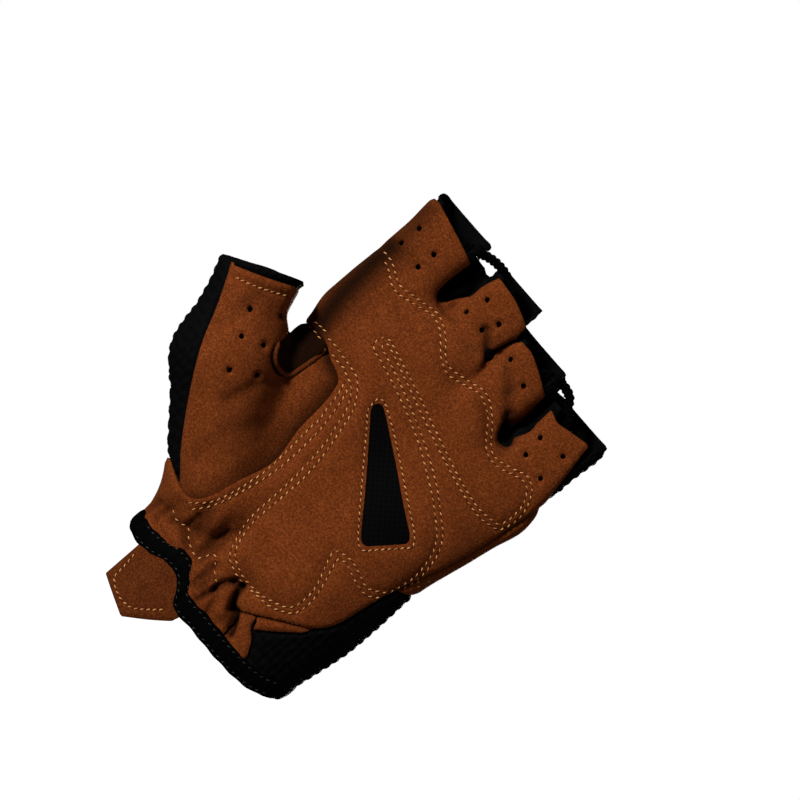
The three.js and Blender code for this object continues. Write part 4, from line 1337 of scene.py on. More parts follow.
# Painted shadow on the palm beside the web: how dark, its half width in millimetres, then places in the
# picture.
PAINTED_WEB_SHADOW = (
    (0.93, 5.2, ((392, 246), (376, 260), (358, 278), (342, 294), (328, 312), (318, 328))),
    (0.6, 4.0, ((428, 210), (410, 228), (392, 246))),
)


@dataclass
class Relief:
    """Quilting, stitch grooves and creases of the suede, as heights on the palm side, with shade painted
    in the creases and along the web.

    Args:
        darkest_mm: depth of a crease whose ground is painted in full shade.
        darkest: how dark the painted shade can get, from 0 to 1.
        front_mm: depths on the palm side between which the relief grows.
        groove_mm: depth and half width of the groove at a stitch row.
        puff_mm: height of the padding, and how far from a row it starts and is full.
        pucker_mm: height of the pucker at a stitch and its distance from the row.
    """

    darkest_mm: float = 2.8
    darkest: float = 0.96
    front_mm: tuple[float, float] = (1.0, 6.0)
    groove_mm: tuple[float, float] = (0.42, 0.75)
    puff_mm: tuple[float, float, float] = (0.25, 0.8, 3.5)
    pucker_mm: tuple[float, float] = (0.07, 1.4)

    def __post_init__(self) -> None:
        """Draws the rows, creases and painted shadows as lines on the palm."""
        self.rows = [
            (kind.value, np.array(smooth_run(picture_line(row), 3))) for kind, row in STITCH_ROWS
        ]
        self.creases = [(depth, width, picture_line(line)) for depth, width, line in CREASES]
        self.painted_shadows = [(dark, width, picture_line(line)) for dark, width, line in PAINTED_WEB_SHADOW]

    def creased(self, points: Array) -> tuple[Array, Array]:
        """Measures the creases and ridges at points.

        Args:
            points: places on the form.

        Returns:
            The height that the whole sheet is moved by, and the painted shade at each point,
            from 0 to 1: darker in deeper creases and in the painted shadow along the web.
        """
        x, z = points[:, 0], points[:, 2]
        front = smoothstep(-points[:, 1], *self.front_mm)
        height = np.zeros(len(points))
        painted_shade = np.zeros(len(points))
        for depth, width, line in self.creases:
            away, _ = line_distance(x, z, line)
            part = depth * np.exp(-((away / width) ** 2))
            height -= part
            # Painted shade: the deeper the crease, the darker.
            painted_shade += np.maximum(part, 0) / self.darkest_mm
        painted_shade = painted_shade * front
        # Painted shadow along the palm beside the web.
        for dark, width, line in self.painted_shadows:
            away, _ = line_distance(x, z, line)
            painted_shade = np.maximum(painted_shade, dark * np.exp(-((away / width) ** 2)))
        return height * front, np.minimum(painted_shade, self.darkest)

    def quilted(self, points: Array) -> Array:
        """Height of the outer side alone: grooves at the stitch rows, with a pucker at each stitch."""
        x, z = points[:, 0], points[:, 2]
        front = smoothstep(-points[:, 1], *self.front_mm)
        height = np.zeros(len(points))
        nearest = np.full(len(points), FAR)
        for pitch, row in self.rows:
            away, travelled = line_distance(x, z, row)
            wave = np.sin(travelled * 2 * math.pi / pitch)
            height += self.pucker_mm[0] * wave * np.exp(-((away - self.pucker_mm[1]) ** 2))
            nearest = np.minimum(nearest, away)
        height -= self.groove_mm[0] * np.exp(-((nearest / self.groove_mm[1]) ** 2))
        height += self.puff_mm[0] * smoothstep(nearest, *self.puff_mm[1:])
        return height * front


@dataclass
class Panels:
    """All the panels that are cut from the hand form's skin.

    Args:
        step_mm: size of the skin's cells.
        suede_mm: how far the suede's outer side stands out from the form.
        suede_inner_mm: how far its inner side lies in.
        roll_mm: depth and width over which an edge of suede rolls down.
        tuck_mm: how far a lower panel runs under its neighbour's edge.
        vent_mm: how deep the vent's sheet lies, and its thickness.
        loop_mm: width and height of a crochet loop.
        leg: how far its legs stand apart in the middle, and how they close, as shares of its width.
        strand: half width of a leg, as a share of its width.
        crown: half height of the loop as a share of its height, and how high its ground rises.
        knit_mm: how far in the ground of the knit lies, and how high its loops stand.
        knit_roll_mm: depth and width over which a rim of knit rolls down.
        sunk_mm: how far the knit sinks beside the suede, and the distances over which it does.
        sunk_loops: how much of a loop's height is lost there.
        inner_loops: height of the loops inside, in millimetres, and how much of their painted highlight
            shows there.
        front_share: half width of a suede tab as a share of its finger's, where no knit is seen.
    """

    step_mm: float = 0.8
    suede_mm: float = 0.15
    suede_inner_mm: float = 1.4
    roll_mm: tuple[float, float] = (0.55, 1.1)
    tuck_mm: float = 1.4
    vent_mm: tuple[float, float] = (0.75, 0.5)
    loop_mm: tuple[float, float] = (4.4, 3.2)
    leg: tuple[float, float] = (0.22, 0.18)
    strand: float = 0.13
    crown: tuple[float, float] = (0.42, 0.25)
    knit_mm: tuple[float, float] = (0.45, 0.65)
    knit_roll_mm: tuple[float, float] = (0.5, 1.4)
    sunk_mm: tuple[float, float, float] = (0.75, 0.2, 1.6)
    sunk_loops: float = 0.6
    inner_loops: tuple[float, float] = (0.2, 0.4)
    front_share: float = 0.78

    def __post_init__(self) -> None:
        """Takes the skin and measures it against every outline."""
        self.form = HandForm()
        self.relief = Relief()
        self.skin = self.form.skin((-98, -46, -32), (54, 30, 150), self.step_mm)
        x, y, z = self.skin.points.T
        self.y = y
        edges = {
            "palm": PALM_EDGE,
            "thumb": THUMB_EDGE,
            "gusset": GUSSET_EDGE,
            "side": SIDE_STRIP_EDGE,
            "heel": HEEL_STRIP_EDGE,
            "flap": WRIST_FLAP_EDGE,
            "vent": tuple(tuple(picture_place(*p) for p in run) for run in VENT_PLACES),
            "thumb_back": THUMB_BACK_EDGE,
        }
        self.away = {name: edge_distance(x, z, outline(runs)) for name, runs in edges.items()}
        self.cuff = CuffTape.height(x, y) - z
        self.tops = self.above_tops(x, z)
        self.rims = self.tops - FRONT_RISE - (RIM_RISE - FRONT_RISE) * smoothstep(y, *RIM_SLOPE)
        self.suede_pieces: list[bpy.types.Object] = []
        LOG.info("skin has %d points", len(self.skin.points))

    def above_tops(self, x: Array, z: Array) -> Array:
        """How far points lie above the openings of the fingers and the thumb.

        Args:
            x: places across.
            z: places along.

        Returns:
            Distances, above zero beyond an opening.
        """
        across = x / PALM_WIDTH
        above = np.full(x.shape, -1e3)
        for finger, low, high in zip(FINGERS, SLEEVE_LIMITS[:-1], SLEEVE_LIMITS[1:]):
            column = (across >= low) & (across < high)
            above[column] = (z - finger.top * HAND_LENGTH)[column]
        (x0, z0), (x1, z1) = THUMB_TOP
        length = math.hypot(x1 - x0, z1 - z0)
        beyond = ((x - x0) * (z0 - z1) + (z - z0) * (x1 - x0)) / length
        near = x < THUMB_SIDE_LIMIT * PALM_WIDTH
        return np.where(near, np.maximum(above, beyond), above)

    def cut(self, field: Array, cover: Array | None = None) -> Skin:
        """Cuts the skin along a field and leaves out scraps.

        Args:
            field: below zero in the part that is kept.
            cover: distance from a panel on top, if there is one.

        Returns:
            The part that is kept.
        """
        self.skin.cover = np.full(len(self.skin.points), FAR) if cover is None else cover
        return self.skin.clipped(field).without_scraps()

    def suede(
        self,
        name: str,
        field: Array,
        nodes: list[str],
        material: bpy.types.Material,
        lap: Lap | None,
        cover: Array,
    ) -> bpy.types.Object:
        """Makes one suede panel.

        Args:
            name: the piece's name.
            field: below zero inside the panel.
            nodes: CAD nodes that it stands for.
            material: its finish.
            lap: how it lies beside the panel on top of it, if there is one.
            cover: distance from the panel on top, above zero outside it.

        Returns:
            The panel.
        """
        skin = self.cut(field, cover)
        creased, painted_shade = self.relief.creased(skin.points)
        roll = self.roll_mm[0] * (1 - smoothstep(skin.edge, 0.0, self.roll_mm[1]))
        dip = np.zeros(len(creased))
        if lap is not None:
            grown = smoothstep(skin.points[:, 2], *lap.fade_mm)
            strength = lap.weakest + (1 - lap.weakest) * grown
            dip = lap.drop_mm * strength * (1 - smoothstep(skin.cover, -lap.under_mm, lap.reach_mm))
            # Painted shade in the dip beside the upper panel's edge, and over the whole panel as gloom
            # says.
            reach = lap.reach_mm * lap.shade_reach
            shade = lap.shade * strength * (1 - smoothstep(skin.cover, 0.0, reach))
            painted_shade = np.maximum(painted_shade, np.maximum(shade, lap.gloom))
        outer = self.suede_mm + creased + self.relief.quilted(skin.points) - roll - dip
        points, faces = sheet_of(skin, outer, creased - dip - self.suede_inner_mm)
        piece = make_piece(name, points, faces, material, {"painted_shade": np.concatenate([painted_shade, painted_shade])})
        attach(piece, BODY)
        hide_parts(*nodes)
        self.suede_pieces.append(piece)
        LOG.info("%s: %d triangles", name, len(faces))
        return piece

    def knit(
        self, name: str, field: Array, nodes: list[str], material: bpy.types.Material, cover: Array
    ) -> bpy.types.Object:
        """Makes one crocheted panel, with its loops raised and its rim turned over.

        Args:
            name: the piece's name.
            field: below zero inside the panel.
            nodes: CAD nodes that it stands for.
            material: its finish.
            cover: distance from the suede, above zero outside it.

        Returns:
            The panel.
        """
        skin = self.cut(field, cover)
        relief = self.loops(skin.points, skin.facing)
        roll = self.knit_roll_mm[0] * (1 - smoothstep(skin.edge, 0.0, self.knit_roll_mm[1]))
        under = 1 - smoothstep(skin.cover, *self.sunk_mm[1:])
        relief = relief * (1 - self.sunk_loops * under)
        outer = self.knit_mm[1] * relief - self.knit_mm[0] - roll - self.sunk_mm[0] * under
        inner = self.inner_loops[0] * relief - WALL - self.sunk_mm[0] * under
        points, faces = sheet_of(skin, outer, inner)
        # The loops' height also paints the knit's highlight and shade, darker beside the suede and on the
        # inner side.
        both = np.concatenate([relief, relief * self.inner_loops[1]])
        piece = make_piece(name, points, faces, material, {"relief": both})
        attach(piece, BODY)
        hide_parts(*nodes)
        LOG.info("%s: %d triangles", name, len(faces))
        return piece

    def loops(self, points: Array, facing: Array) -> Array:
        """Height of the crochet loops, from 0 between them to 1 on top.

        Args:
            points: places on the surface.
            facing: which way it faces there.

        Returns:
            One height for each point.
        """
        width, height = self.loop_mm
        side = smoothstep(np.abs(facing[:, 0]), 0.6, 0.85)
        across = points[:, 0] * (1 - side) + points[:, 1] * side
        along = points[:, 2] / height
        row = np.floor(along)
        u = across / width + 0.5 * (row % 2)
        u = u - np.floor(u) - 0.5
        v = along - row - 0.5
        leg = self.leg[0] - self.leg[1] * v
        strand = np.exp(-(((np.abs(u) - leg) / self.strand) ** 2))
        crown = np.exp(-((v / self.crown[0]) ** 2))
        return np.clip(strand * crown + self.crown[1] * crown, 0, 1)

    def build(self, suede: bpy.types.Material, knit: bpy.types.Material, mesh: bpy.types.Material) -> None:
        """Cuts and dresses every panel.

        Args:
            suede: finish of the palm side.
            knit: finish of the back.
            mesh: finish of the vent.
        """
        away, y = self.away, self.y
        x, _, z = self.skin.points.T
        holes = np.full(len(x), -1e3)
        for hx, hz in HOLES:
            holes = np.maximum(holes, HOLE_RADIUS - np.hypot(x - hx, z - hz))
        holes = np.where(y < 0, holes, -1e3)
        ends = np.maximum(self.cuff, self.tops)
        palm_side = y - PALM_SIDE - WEB_REACH * smoothstep(-x, *WEB_SPAN)
        thumb_side, strip_side = y - THUMB_SIDE, y - STRIP_SIDE
        under_palm = -(away["palm"] + self.tuck_mm)
        thumb = (away["thumb"], thumb_side, under_palm, -(away["gusset"] + 0.3), holes)
        flap = (away["flap"], y, under_palm, -(away["heel"] - 0.4))
        for name, node, limits, lap in (
            ("palm_suede", "palm_panel", (away["palm"], palm_side, -away["vent"], holes), None),
            ("web_gusset_suede", "web_gusset", (away["gusset"], palm_side, under_palm), GUSSET_LAP),
            ("thumb_suede", "thumb_panel", thumb, THUMB_LAP),
            ("side_strip_suede", "side_strip", (away["side"], strip_side, under_palm), STRIP_LAP),
            ("heel_strip_suede", "heel_strip", (away["heel"], y, under_palm), STRIP_LAP),
            ("wrist_flap_suede", "wrist_flap", flap, STRIP_LAP),
        ):
            field = np.maximum.reduce([ends, *limits])
            self.suede(name, field, [node], suede, lap, away["palm"])

        vent = self.cut(np.maximum(away["vent"] - self.tuck_mm, y - VENT_SIDE))
        outer = self.relief.creased(vent.points)[0] - self.vent_mm[0]
        points, faces = sheet_of(vent, outer, outer - self.vent_mm[1])
        piece = make_piece("vent_sheet", points, faces, mesh)
        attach(piece, BODY)
        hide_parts("vent_mesh")

        covered = np.minimum.reduce(
            [
                np.maximum(np.minimum(away["palm"], away["gusset"]), palm_side),
                np.maximum(away["thumb"], thumb_side),
                np.maximum(away["side"], strip_side),
                np.maximum(np.minimum(away["heel"], away["flap"]), y),
            ]
        )
        in_front = np.full(len(x), 1e3)
        for finger in FINGERS:
            half = finger.width * self.front_share * PALM_WIDTH
            column = np.abs(x - finger.across * PALM_WIDTH) - half
            above = (finger.top - TAB_HEIGHT) * HAND_LENGTH - z
            in_front = np.minimum(in_front, np.maximum.reduce([column, above, y + 1.0]))
        bare = np.maximum.reduce([-(covered + self.tuck_mm), self.cuff, self.rims, -in_front])
        rest = bare
        for i, finger in enumerate(FINGERS):
            low, high = SLEEVE_LIMITS[i] * PALM_WIDTH, SLEEVE_LIMITS[i + 1] * PALM_WIDTH
            foot = (read_table(WEBS, 1, x / PALM_WIDTH) - SLEEVE_FOOT) * HAND_LENGTH
            sleeve = np.maximum.reduce([bare, low - x, x - high, foot - z])
            self.knit(finger.name + "_knit", sleeve, [finger.name + "_sleeve"], knit, covered)
            rest = np.maximum(rest, -np.maximum.reduce([low - x, x - high, foot - z]))
        thumb_back = np.maximum(rest, away["thumb_back"])
        self.knit("thumb_knit", thumb_back, ["thumb_back"], knit, covered)
        hand_back = np.maximum(rest, -away["thumb_back"])
        self.knit("hand_knit", hand_back, ["hand_back"], knit, covered)


@dataclass
class CuffTape:
    """Black tape folded round the edge of the wrist.

    Args:
        height_mm: how much of the tape shows from the palm.
        thickness_mm: thickness of the folded tape.
        row_mm: how far its rows of stitches lie from its middle.
        groove_mm: depth and half width of the groove at a row.
        gathers_mm: height and length of its coarse gathers, then of the finer ones.
        wander_mm: how far its edge wanders up and down, and over what length.
        corner: how round its front and its edges are, from 0 for square to 1 for round.
        steps: faces round the wrist.
        sides: faces round the tape.
    """

    height_mm: float = 6.6
    thickness_mm: float = 3.2
    row_mm: float = 2.2
    groove_mm: tuple[float, float] = (0.22, 0.3)
    gathers_mm: tuple[float, float, float, float] = (0.08, 4.7963, 0.1, 3.1)
    wander_mm: tuple[float, float] = (0.12, 6.9813)
    corner: tuple[float, float] = (0.7, 0.5)
    steps: int = 360
    sides: int = 28

    @staticmethod
    def height(x: Array, y: Array) -> Array:
        """Height of the middle of the tape at places on the wrist, in millimetres."""
        wave = read_table(CUFF_WAVE, 1, np.asarray(x) / PALM_WIDTH)
        front = smoothstep(-np.asarray(y), -0.1 * PALM_DEPTH, 0.3 * PALM_DEPTH)
        return (CUFF_BACK + (wave - CUFF_BACK) * front) * HAND_LENGTH

    @staticmethod
    def wrist(angle: Array, grow: Array | float) -> tuple[Array, Array]:
        """Outline of the wrist, moved outwards by grow.

        Args:
            angle: directions round the wrist.
            grow: distance outwards, in millimetres.

        Returns:
            Places across and in depth.
        """
        _, left, right, palm, back = SECTIONS[1]
        half_width = (right - left) / 2 * PALM_WIDTH + grow
        middle = (right + left) / 2 * PALM_WIDTH
        c, s = np.cos(angle), np.sin(angle)
        depth = np.where(s < 0, palm, back) * PALM_DEPTH + grow
        power = 2 / SQUARENESS
        x = middle + np.sign(c) * np.abs(c) ** power * half_width
        y = np.sign(s) * np.abs(s) ** power * depth
        return x, y

    def build(self, material: bpy.types.Material) -> bpy.types.Object:
        """Makes the tape, with the groove of its edge stitching and small gathers.

        Args:
            material: its finish.

        Returns:
            The tape.
        """
        angle = -np.arange(self.steps) / self.steps * 2 * math.pi
        on_x, on_y = self.wrist(angle, -WALL / 2)
        travelled = np.concatenate([[0], np.cumsum(np.hypot(np.diff(on_x), np.diff(on_y)))])
        round_wrist = travelled * 2 * math.pi
        coarse, coarse_length, fine, fine_length = self.gathers_mm
        pucker = fine * np.sin(round_wrist / fine_length) + coarse * np.sin(round_wrist / coarse_length)
        wander = self.wander_mm[0] * np.sin(round_wrist / self.wander_mm[1])
        rings = []
        for s in range(self.sides):
            turn = (s + 0.5) / self.sides * 2 * math.pi
            c, n = math.cos(turn), math.sin(turn)
            out = math.copysign(abs(c) ** self.corner[0], c) * self.thickness_mm / 2
            up = math.copysign(abs(n) ** self.corner[1], n) * self.height_mm / 2
            groove = self.groove_mm[0] * math.exp(-(((abs(up) - self.row_mm) / self.groove_mm[1]) ** 2))
            x, y = self.wrist(angle, -WALL / 2 + out - math.copysign(groove, c) + pucker * abs(c))
            z = self.height(on_x, on_y) + up + wander
            rings.append(np.stack([x, y, z], 1))
        points = np.stack(rings, 1).reshape(-1, 3)
        faces = []
        for r in range(self.steps):
            here, last = r * self.sides, (r + 1) % self.steps * self.sides
            for s in range(self.sides):
                after = (s + 1) % self.sides
                faces.append((here + s, here + after, last + after, last + s))
        along = np.repeat(travelled, self.sides)
        piece = make_piece("cuff_tape", points, np.array(faces), material, {"along": along})
        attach(piece, BODY)
        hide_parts("cuff_binding")
        LOG.info("cuff_tape: %d faces", len(faces))
        return piece


@dataclass
class PullTab:
    """Suede tab that hangs inside the cuff tape, bent to the wrist.

    Args:
        step_mm: size of its faces.
        thickness_mm: its thickness.
        gloom: how dark the painted shadow of the cuff tape is over the whole tab, from 0 to 1.
        groove_mm: depth and half width of the groove at its stitches.
        roll_mm: depth and width over which its edge rolls down.
    """

    step_mm: float = 0.7
    thickness_mm: float = 1.5
    gloom: float = 0.4
    groove_mm: tuple[float, float] = (0.3, 0.7)
    roll_mm: tuple[float, float] = (0.4, 1.0)

    def build(self, material: bpy.types.Material) -> bpy.types.Object:
        """Makes the tab.

        Args:
            material: its finish.

        Returns:
            The tab.
        """
        xs = np.arange(-31, -1, self.step_mm)
        zs = np.arange(-23, 4, self.step_mm)
        gx, gz = np.meshgrid(xs, zs, indexing="ij")
        _, left, right, palm, _ = SECTIONS[1]
        half = (right - left) / 2 * PALM_WIDTH - WALL / 2
        middle = (right + left) / 2 * PALM_WIDTH
        depth = palm * PALM_DEPTH - WALL / 2
        u = np.clip(np.abs(gx - middle) / half, 0, 0.995)
        gy = -depth * (1 - u**SQUARENESS) ** (1 / SQUARENESS)
        points = np.stack([gx, gy, gz], -1).reshape(-1, 3)
        rows, columns = gx.shape
        number = np.arange(rows * columns).reshape(rows, columns)
        a, b = number[:-1, :-1].ravel(), number[1:, :-1].ravel()
        c, d = number[1:, 1:].ravel(), number[:-1, 1:].ravel()
        faces = np.vstack([np.stack([a, b, c], 1), np.stack([a, c, d], 1)])
        slope = np.gradient(gy, self.step_mm, axis=0)
        facing = np.stack([slope, -np.ones_like(slope), np.zeros_like(slope)], -1).reshape(-1, 3)
        facing /= np.linalg.norm(facing, axis=1, keepdims=True)
        nothing = np.zeros(len(points))
        skin = Skin(points, facing, faces, nothing, nothing)
        x, y, z = points.T
        under_tape = z - (CuffTape.height(x, y) + PULL_TAB_LOWER)
        field = np.maximum(edge_distance(x, z, outline(PULL_TAB_EDGE)), under_tape)
        skin = skin.clipped(field)
        row = picture_line(TAB_STITCHES)
        away, _ = line_distance(skin.points[:, 0], skin.points[:, 2], row)
        outer = self.thickness_mm / 2 - self.groove_mm[0] * np.exp(-((away / self.groove_mm[1]) ** 2))
        outer = outer - self.roll_mm[0] * (1 - smoothstep(skin.edge, 0, self.roll_mm[1]))
        points, faces = sheet_of(skin, outer, np.full(len(outer), -self.thickness_mm / 2))
        # Painted shadow of the cuff tape, even over the whole tab.
        painted_shade = np.full(len(points), self.gloom)
        piece = make_piece("pull_tab_suede", points, faces, material, {"painted_shade": painted_shade})
        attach(piece, BODY)
        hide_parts("pull_tab")
        return piece


@dataclass
class Braid:
    """A braided cord: three round strands that wind over each other along a path.

    Args:
        name: the piece's name.
        node: the CAD node that it stands for.
        path: places along its middle, in millimetres.
        diameter_mm: the whole cord's diameter.
        lay_mm: length over which a strand winds once.
        step_mm: distance between the rings of a strand.
        sides: points in a ring.
        flattened: a strand's width as a share of its thickness.
        lift: how far strands cross over each other, as a share of their swing to the side.
    """

    name: str
    node: str
    path: tuple[tuple[float, float, float], ...]
    diameter_mm: float = 2.9
    lay_mm: float = 5.0
    step_mm: float = 0.3
    sides: int = 10
    flattened: float = 1.25
    lift: float = 0.7

    def build(self, material: bpy.types.Material) -> bpy.types.Object:
        """Makes the cord as one mesh of three strands.

        Args:
            material: its finish.

        Returns:
            The cord.
        """
        path = np.array(self.path, float)
        fine = []
        for i in range(len(path) - 1):
            a, b = path[max(i - 1, 0)], path[i]
            c, d = path[i + 1], path[min(i + 2, len(path) - 1)]
            for t in np.linspace(0, 1, 16, endpoint=i == len(path) - 2):
                fine.append(between(a, b, c, d, t))
        line = np.array(fine)
        length = np.concatenate([[0], np.cumsum(np.linalg.norm(np.diff(line, axis=0), axis=1))])
        count = int(length[-1] / self.step_mm)
        at = np.linspace(0, length[-1], count)
        line = np.stack([np.interp(at, length, line[:, k]) for k in range(3)], 1)
        tangent = np.gradient(line, axis=0)
        tangent /= np.linalg.norm(tangent, axis=1, keepdims=True)
        side = np.cross(tangent, (0.0, 1.0, 0.0))
        side /= np.linalg.norm(side, axis=1, keepdims=True)
        up = np.cross(side, tangent)
        strand = self.diameter_mm * 0.25
        swing = self.diameter_mm / 2 - strand
        all_points, all_faces, all_along = [], [], []
        for k in range(3):
            phase = at / self.lay_mm * 2 * math.pi + k * 2 * math.pi / 3
            middle = line + side * (np.sin(phase) * swing)[:, None]
            middle = middle + up * (np.sin(2 * phase) * swing * self.lift)[:, None]
            all_points.append(rings_round(middle, side, up, self.sides, strand * self.flattened, strand))
            all_faces += tube_faces(count, self.sides, k * count * self.sides)
            all_along.append(np.repeat(at, self.sides))
        piece = make_piece(
            self.name,
            np.vstack(all_points),
            np.array(all_faces),
            material,
            {"along": np.concatenate(all_along)},
        )
        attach(piece, BODY)
        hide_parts(self.node)
        return piece


@dataclass
class Piping:
    """Small rolled edge of suede round the thumb crotch.

    Args:
        diameter_mm: its diameter.
        gloom: how dark the painted shade over the whole edge is, from 0 to 1.
        sunk_mm: how deep it sits in the suede.
        hidden_mm: how deep its ends lie below the form.
        sides: points round it.
        route: places across and along.
    """

    diameter_mm: float = 1.5
    gloom: float = 0.42
    sunk_mm: float = 0.35
    hidden_mm: float = 1.4
    sides: int = 12
    route: tuple[tuple[float, float], ...] = (
        (-47.4, 70.2), (-46.6, 68), (-45, 65.5), (-42.5, 63.6), (-40.1, 63.2), (-38.1, 63.8),
        (-37, 65.7), (-36.6, 69), (-36.2, 72), (-36.3, 75), (-36.7, 78),
    )

    def build(self, form: HandForm, material: bpy.types.Material) -> bpy.types.Object:
        """Makes the edge along the surface of the form.

        Args:
            form: the hand form that it lies on.
            material: its finish.

        Returns:
            The rolled edge.
        """
        line = np.array(smooth_run(self.route, 8))
        points = np.stack([line[:, 0], np.full(len(line), -48.0), line[:, 1]], 1)
        for _ in range(120):
            gap = form.distance(*points.T)
            points[:, 1] += np.where(gap > 0.01, np.maximum(gap * 0.6, 0.01), 0)
        facing = form.slope(points)
        facing /= np.linalg.norm(facing, axis=1, keepdims=True)
        share = np.linspace(0, 1, len(line))
        shown = smoothstep(share, 0.0, 0.12) * (1 - smoothstep(share, 0.8, 0.95))
        raised = self.diameter_mm / 2 - self.sunk_mm
        middle = points + facing * (raised * shown - self.hidden_mm * (1 - shown))[:, None]
        tangent = np.gradient(middle, axis=0)
        tangent /= np.linalg.norm(tangent, axis=1, keepdims=True)
        side = np.cross(tangent, facing)
        radius = self.diameter_mm / 2
        verts = rings_round(middle, side, facing, self.sides, radius, radius)
        faces = np.array(tube_faces(len(line), self.sides, turned=True))
        # Painted shade, even over the whole edge.
        painted_shade = np.full(len(verts), self.gloom)
        piece = make_piece("crotch_roll", verts, faces, material, {"painted_shade": painted_shade})
        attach(piece, BODY)
        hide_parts("crotch_piping")
        return piece


@dataclass
class Stitching:
    """Rows of thread, each stitch a small slanted dash that dips into the suede at both ends.

    Args:
        length_mm: length of a stitch that shows.
        thread_mm: diameter of the thread.
        slant: how far a stitch leans across its row, as a share of its length.
        spread_mm: how far before and behind a stitch its row's direction is taken.
        uneven_mm: most that a stitch's ends may differ in depth, past which it is left out.
        hole_mm: half length and half width of the disc of painted shade at a needle hole.
    """

    length_mm: float = 1.05
    thread_mm: float = 0.4
    slant: float = 0.36
    spread_mm: float = 0.3
    uneven_mm: float = 1.5
    hole_mm: tuple[float, float] = (0.34, 0.18)

    def landing(self, tree: BVHTree, x: float, z: float) -> tuple[Vector, Vector] | None:
        """Finds the suede in front at a place, or None where there is no suede."""
        place, normal, _, _ = tree.ray_cast(Vector((x, -80.0, z)), Vector((0, 1, 0)))
        return None if place is None else (place, normal)

    def build(
        self,
        rows: list[tuple[float, Array]],
        targets: list[bpy.types.Object],
        name: str,
        thread: bpy.types.Material,
        hole_shade_finish: bpy.types.Material,
    ) -> None:
        """Lays stitches along rows on the outer side of the pieces, with a disc of painted shade at each
        needle hole.

        Args:
            rows: for each row, the distance between its stitches and its line in millimetres.
            targets: pieces that the stitches are sewn through.
            name: the piece's name.
            thread: the thread's finish.
            hole_shade_finish: finish of the painted shade discs at the needle holes.
        """
        corners, faces = [], []
        for piece in targets:
            start = len(corners)
            corners.extend(v.co / MM for v in piece.data.vertices)
            faces.extend(tuple(start + i for i in p.vertices) for p in piece.data.polygons)
        tree = BVHTree.FromPolygons(corners, faces)
        points: list[Vector] = []
        quads: list[tuple[int, ...]] = []
        marks: list[Vector] = []
        fans: list[tuple[int, ...]] = []
        for pitch, row in rows:
            length = np.concatenate([[0], np.cumsum(np.hypot(*np.diff(row, axis=0).T))])
            count = max(int(round(length[-1] / pitch)), 1)
            for k in range(count):
                at = (k + 0.5) * length[-1] / count
                near = np.array([at - self.spread_mm, at + self.spread_mm])
                xs, zs = np.interp(near, length, row[:, 0]), np.interp(near, length, row[:, 1])
                run = np.array([xs[1] - xs[0], zs[1] - zs[0]])
                run /= max(float(np.hypot(*run)), 1e-6)
                if run[1] < 0:
                    run = -run
                dash = run + self.slant * np.array([-run[1], run[0]])
                middle = np.array([xs.mean(), zs.mean()])
                reach = dash * self.length_mm / 2
                first = self.landing(tree, *(middle - reach))
                last = self.landing(tree, *(middle + reach))
                if first is None or last is None or abs(first[0].y - last[0].y) > self.uneven_mm:
                    continue
                self.stitch(first, last, points, quads)
                past = run * (self.length_mm / 2 + self.spread_mm)
                # A disc of painted shade at each needle hole, before and after the stitch.
                for sign in (-1, 1):
                    hole = self.landing(tree, *(middle + sign * past))
                    if hole is not None:
                        self.mark(hole, run, marks, fans)
        for part, verts, polygons, finish in (
            (name, points, quads, thread),
            (name + "_holes", marks, fans, hole_shade_finish),
        ):
            piece = make_piece(part, np.array([tuple(v) for v in verts]), np.array(polygons), finish)
            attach(piece, BODY)
            LOG.info("%s: %d faces", part, len(polygons))

    def stitch(
        self,
        first: tuple[Vector, Vector],
        last: tuple[Vector, Vector],
        points: list[Vector],
        quads: list[tuple[int, ...]],
    ) -> None:
        """Adds one stitch between two places on the suede.

        Args:
            first: place and facing of its first end.
            last: the same for its last end.
            points: points so far, added to.
            quads: faces so far, added to.
        """
        sides, cuts = 6, 5
        a, b = first[0], last[0]
        up = (first[1] + last[1]).normalized()
        side = (b - a).cross(up).normalized()
        start = len(points)
        for c in range(cuts):
            t = c / (cuts - 1)
            swell = math.sin(math.pi * (0.1 + 0.8 * t))
            middle = a.lerp(b, t) + up * self.thread_mm * (0.6 * swell - 0.2)
            radius = self.thread_mm / 2 * (0.4 + 0.6 * swell)
            for k in range(sides):
                turn = k / sides * 2 * math.pi
                points.append(middle + (side * math.cos(turn) + up * math.sin(turn)) * radius)
        for c in range(cuts - 1):
            for k in range(sides):
                after = (k + 1) % sides
                p, q = start + c * sides + k, start + c * sides + after
                quads.append((p, p + sides, q + sides, q))

    def mark(
        self,
        hole: tuple[Vector, Vector],
        run: Array,
        marks: list[Vector],
        fans: list[tuple[int, ...]],
    ) -> None:
        """Adds a small disc of painted shade at one needle hole.

        Args:
            hole: place and facing of the suede there.
            run: direction of the row.
            marks: points so far, added to.
            fans: faces so far, added to.
        """
        place, up = hole
        along = Vector((run[0], 0, run[1]))
        along = (along - up * along.dot(up)).normalized()
        side = along.cross(up)
        start = len(marks)
        sides = 8
        for k in range(sides):
            turn = k / sides * 2 * math.pi
            reach = along * math.cos(turn) * self.hole_mm[0] + side * math.sin(turn) * self.hole_mm[1]
            marks.append(place + reach + up * 0.05)
        ring = [start + k for k in range(sides)]
        for k in range(1, sides // 2):
            fans.append((ring[k - 1], ring[k], ring[-k - 1], ring[-k]))


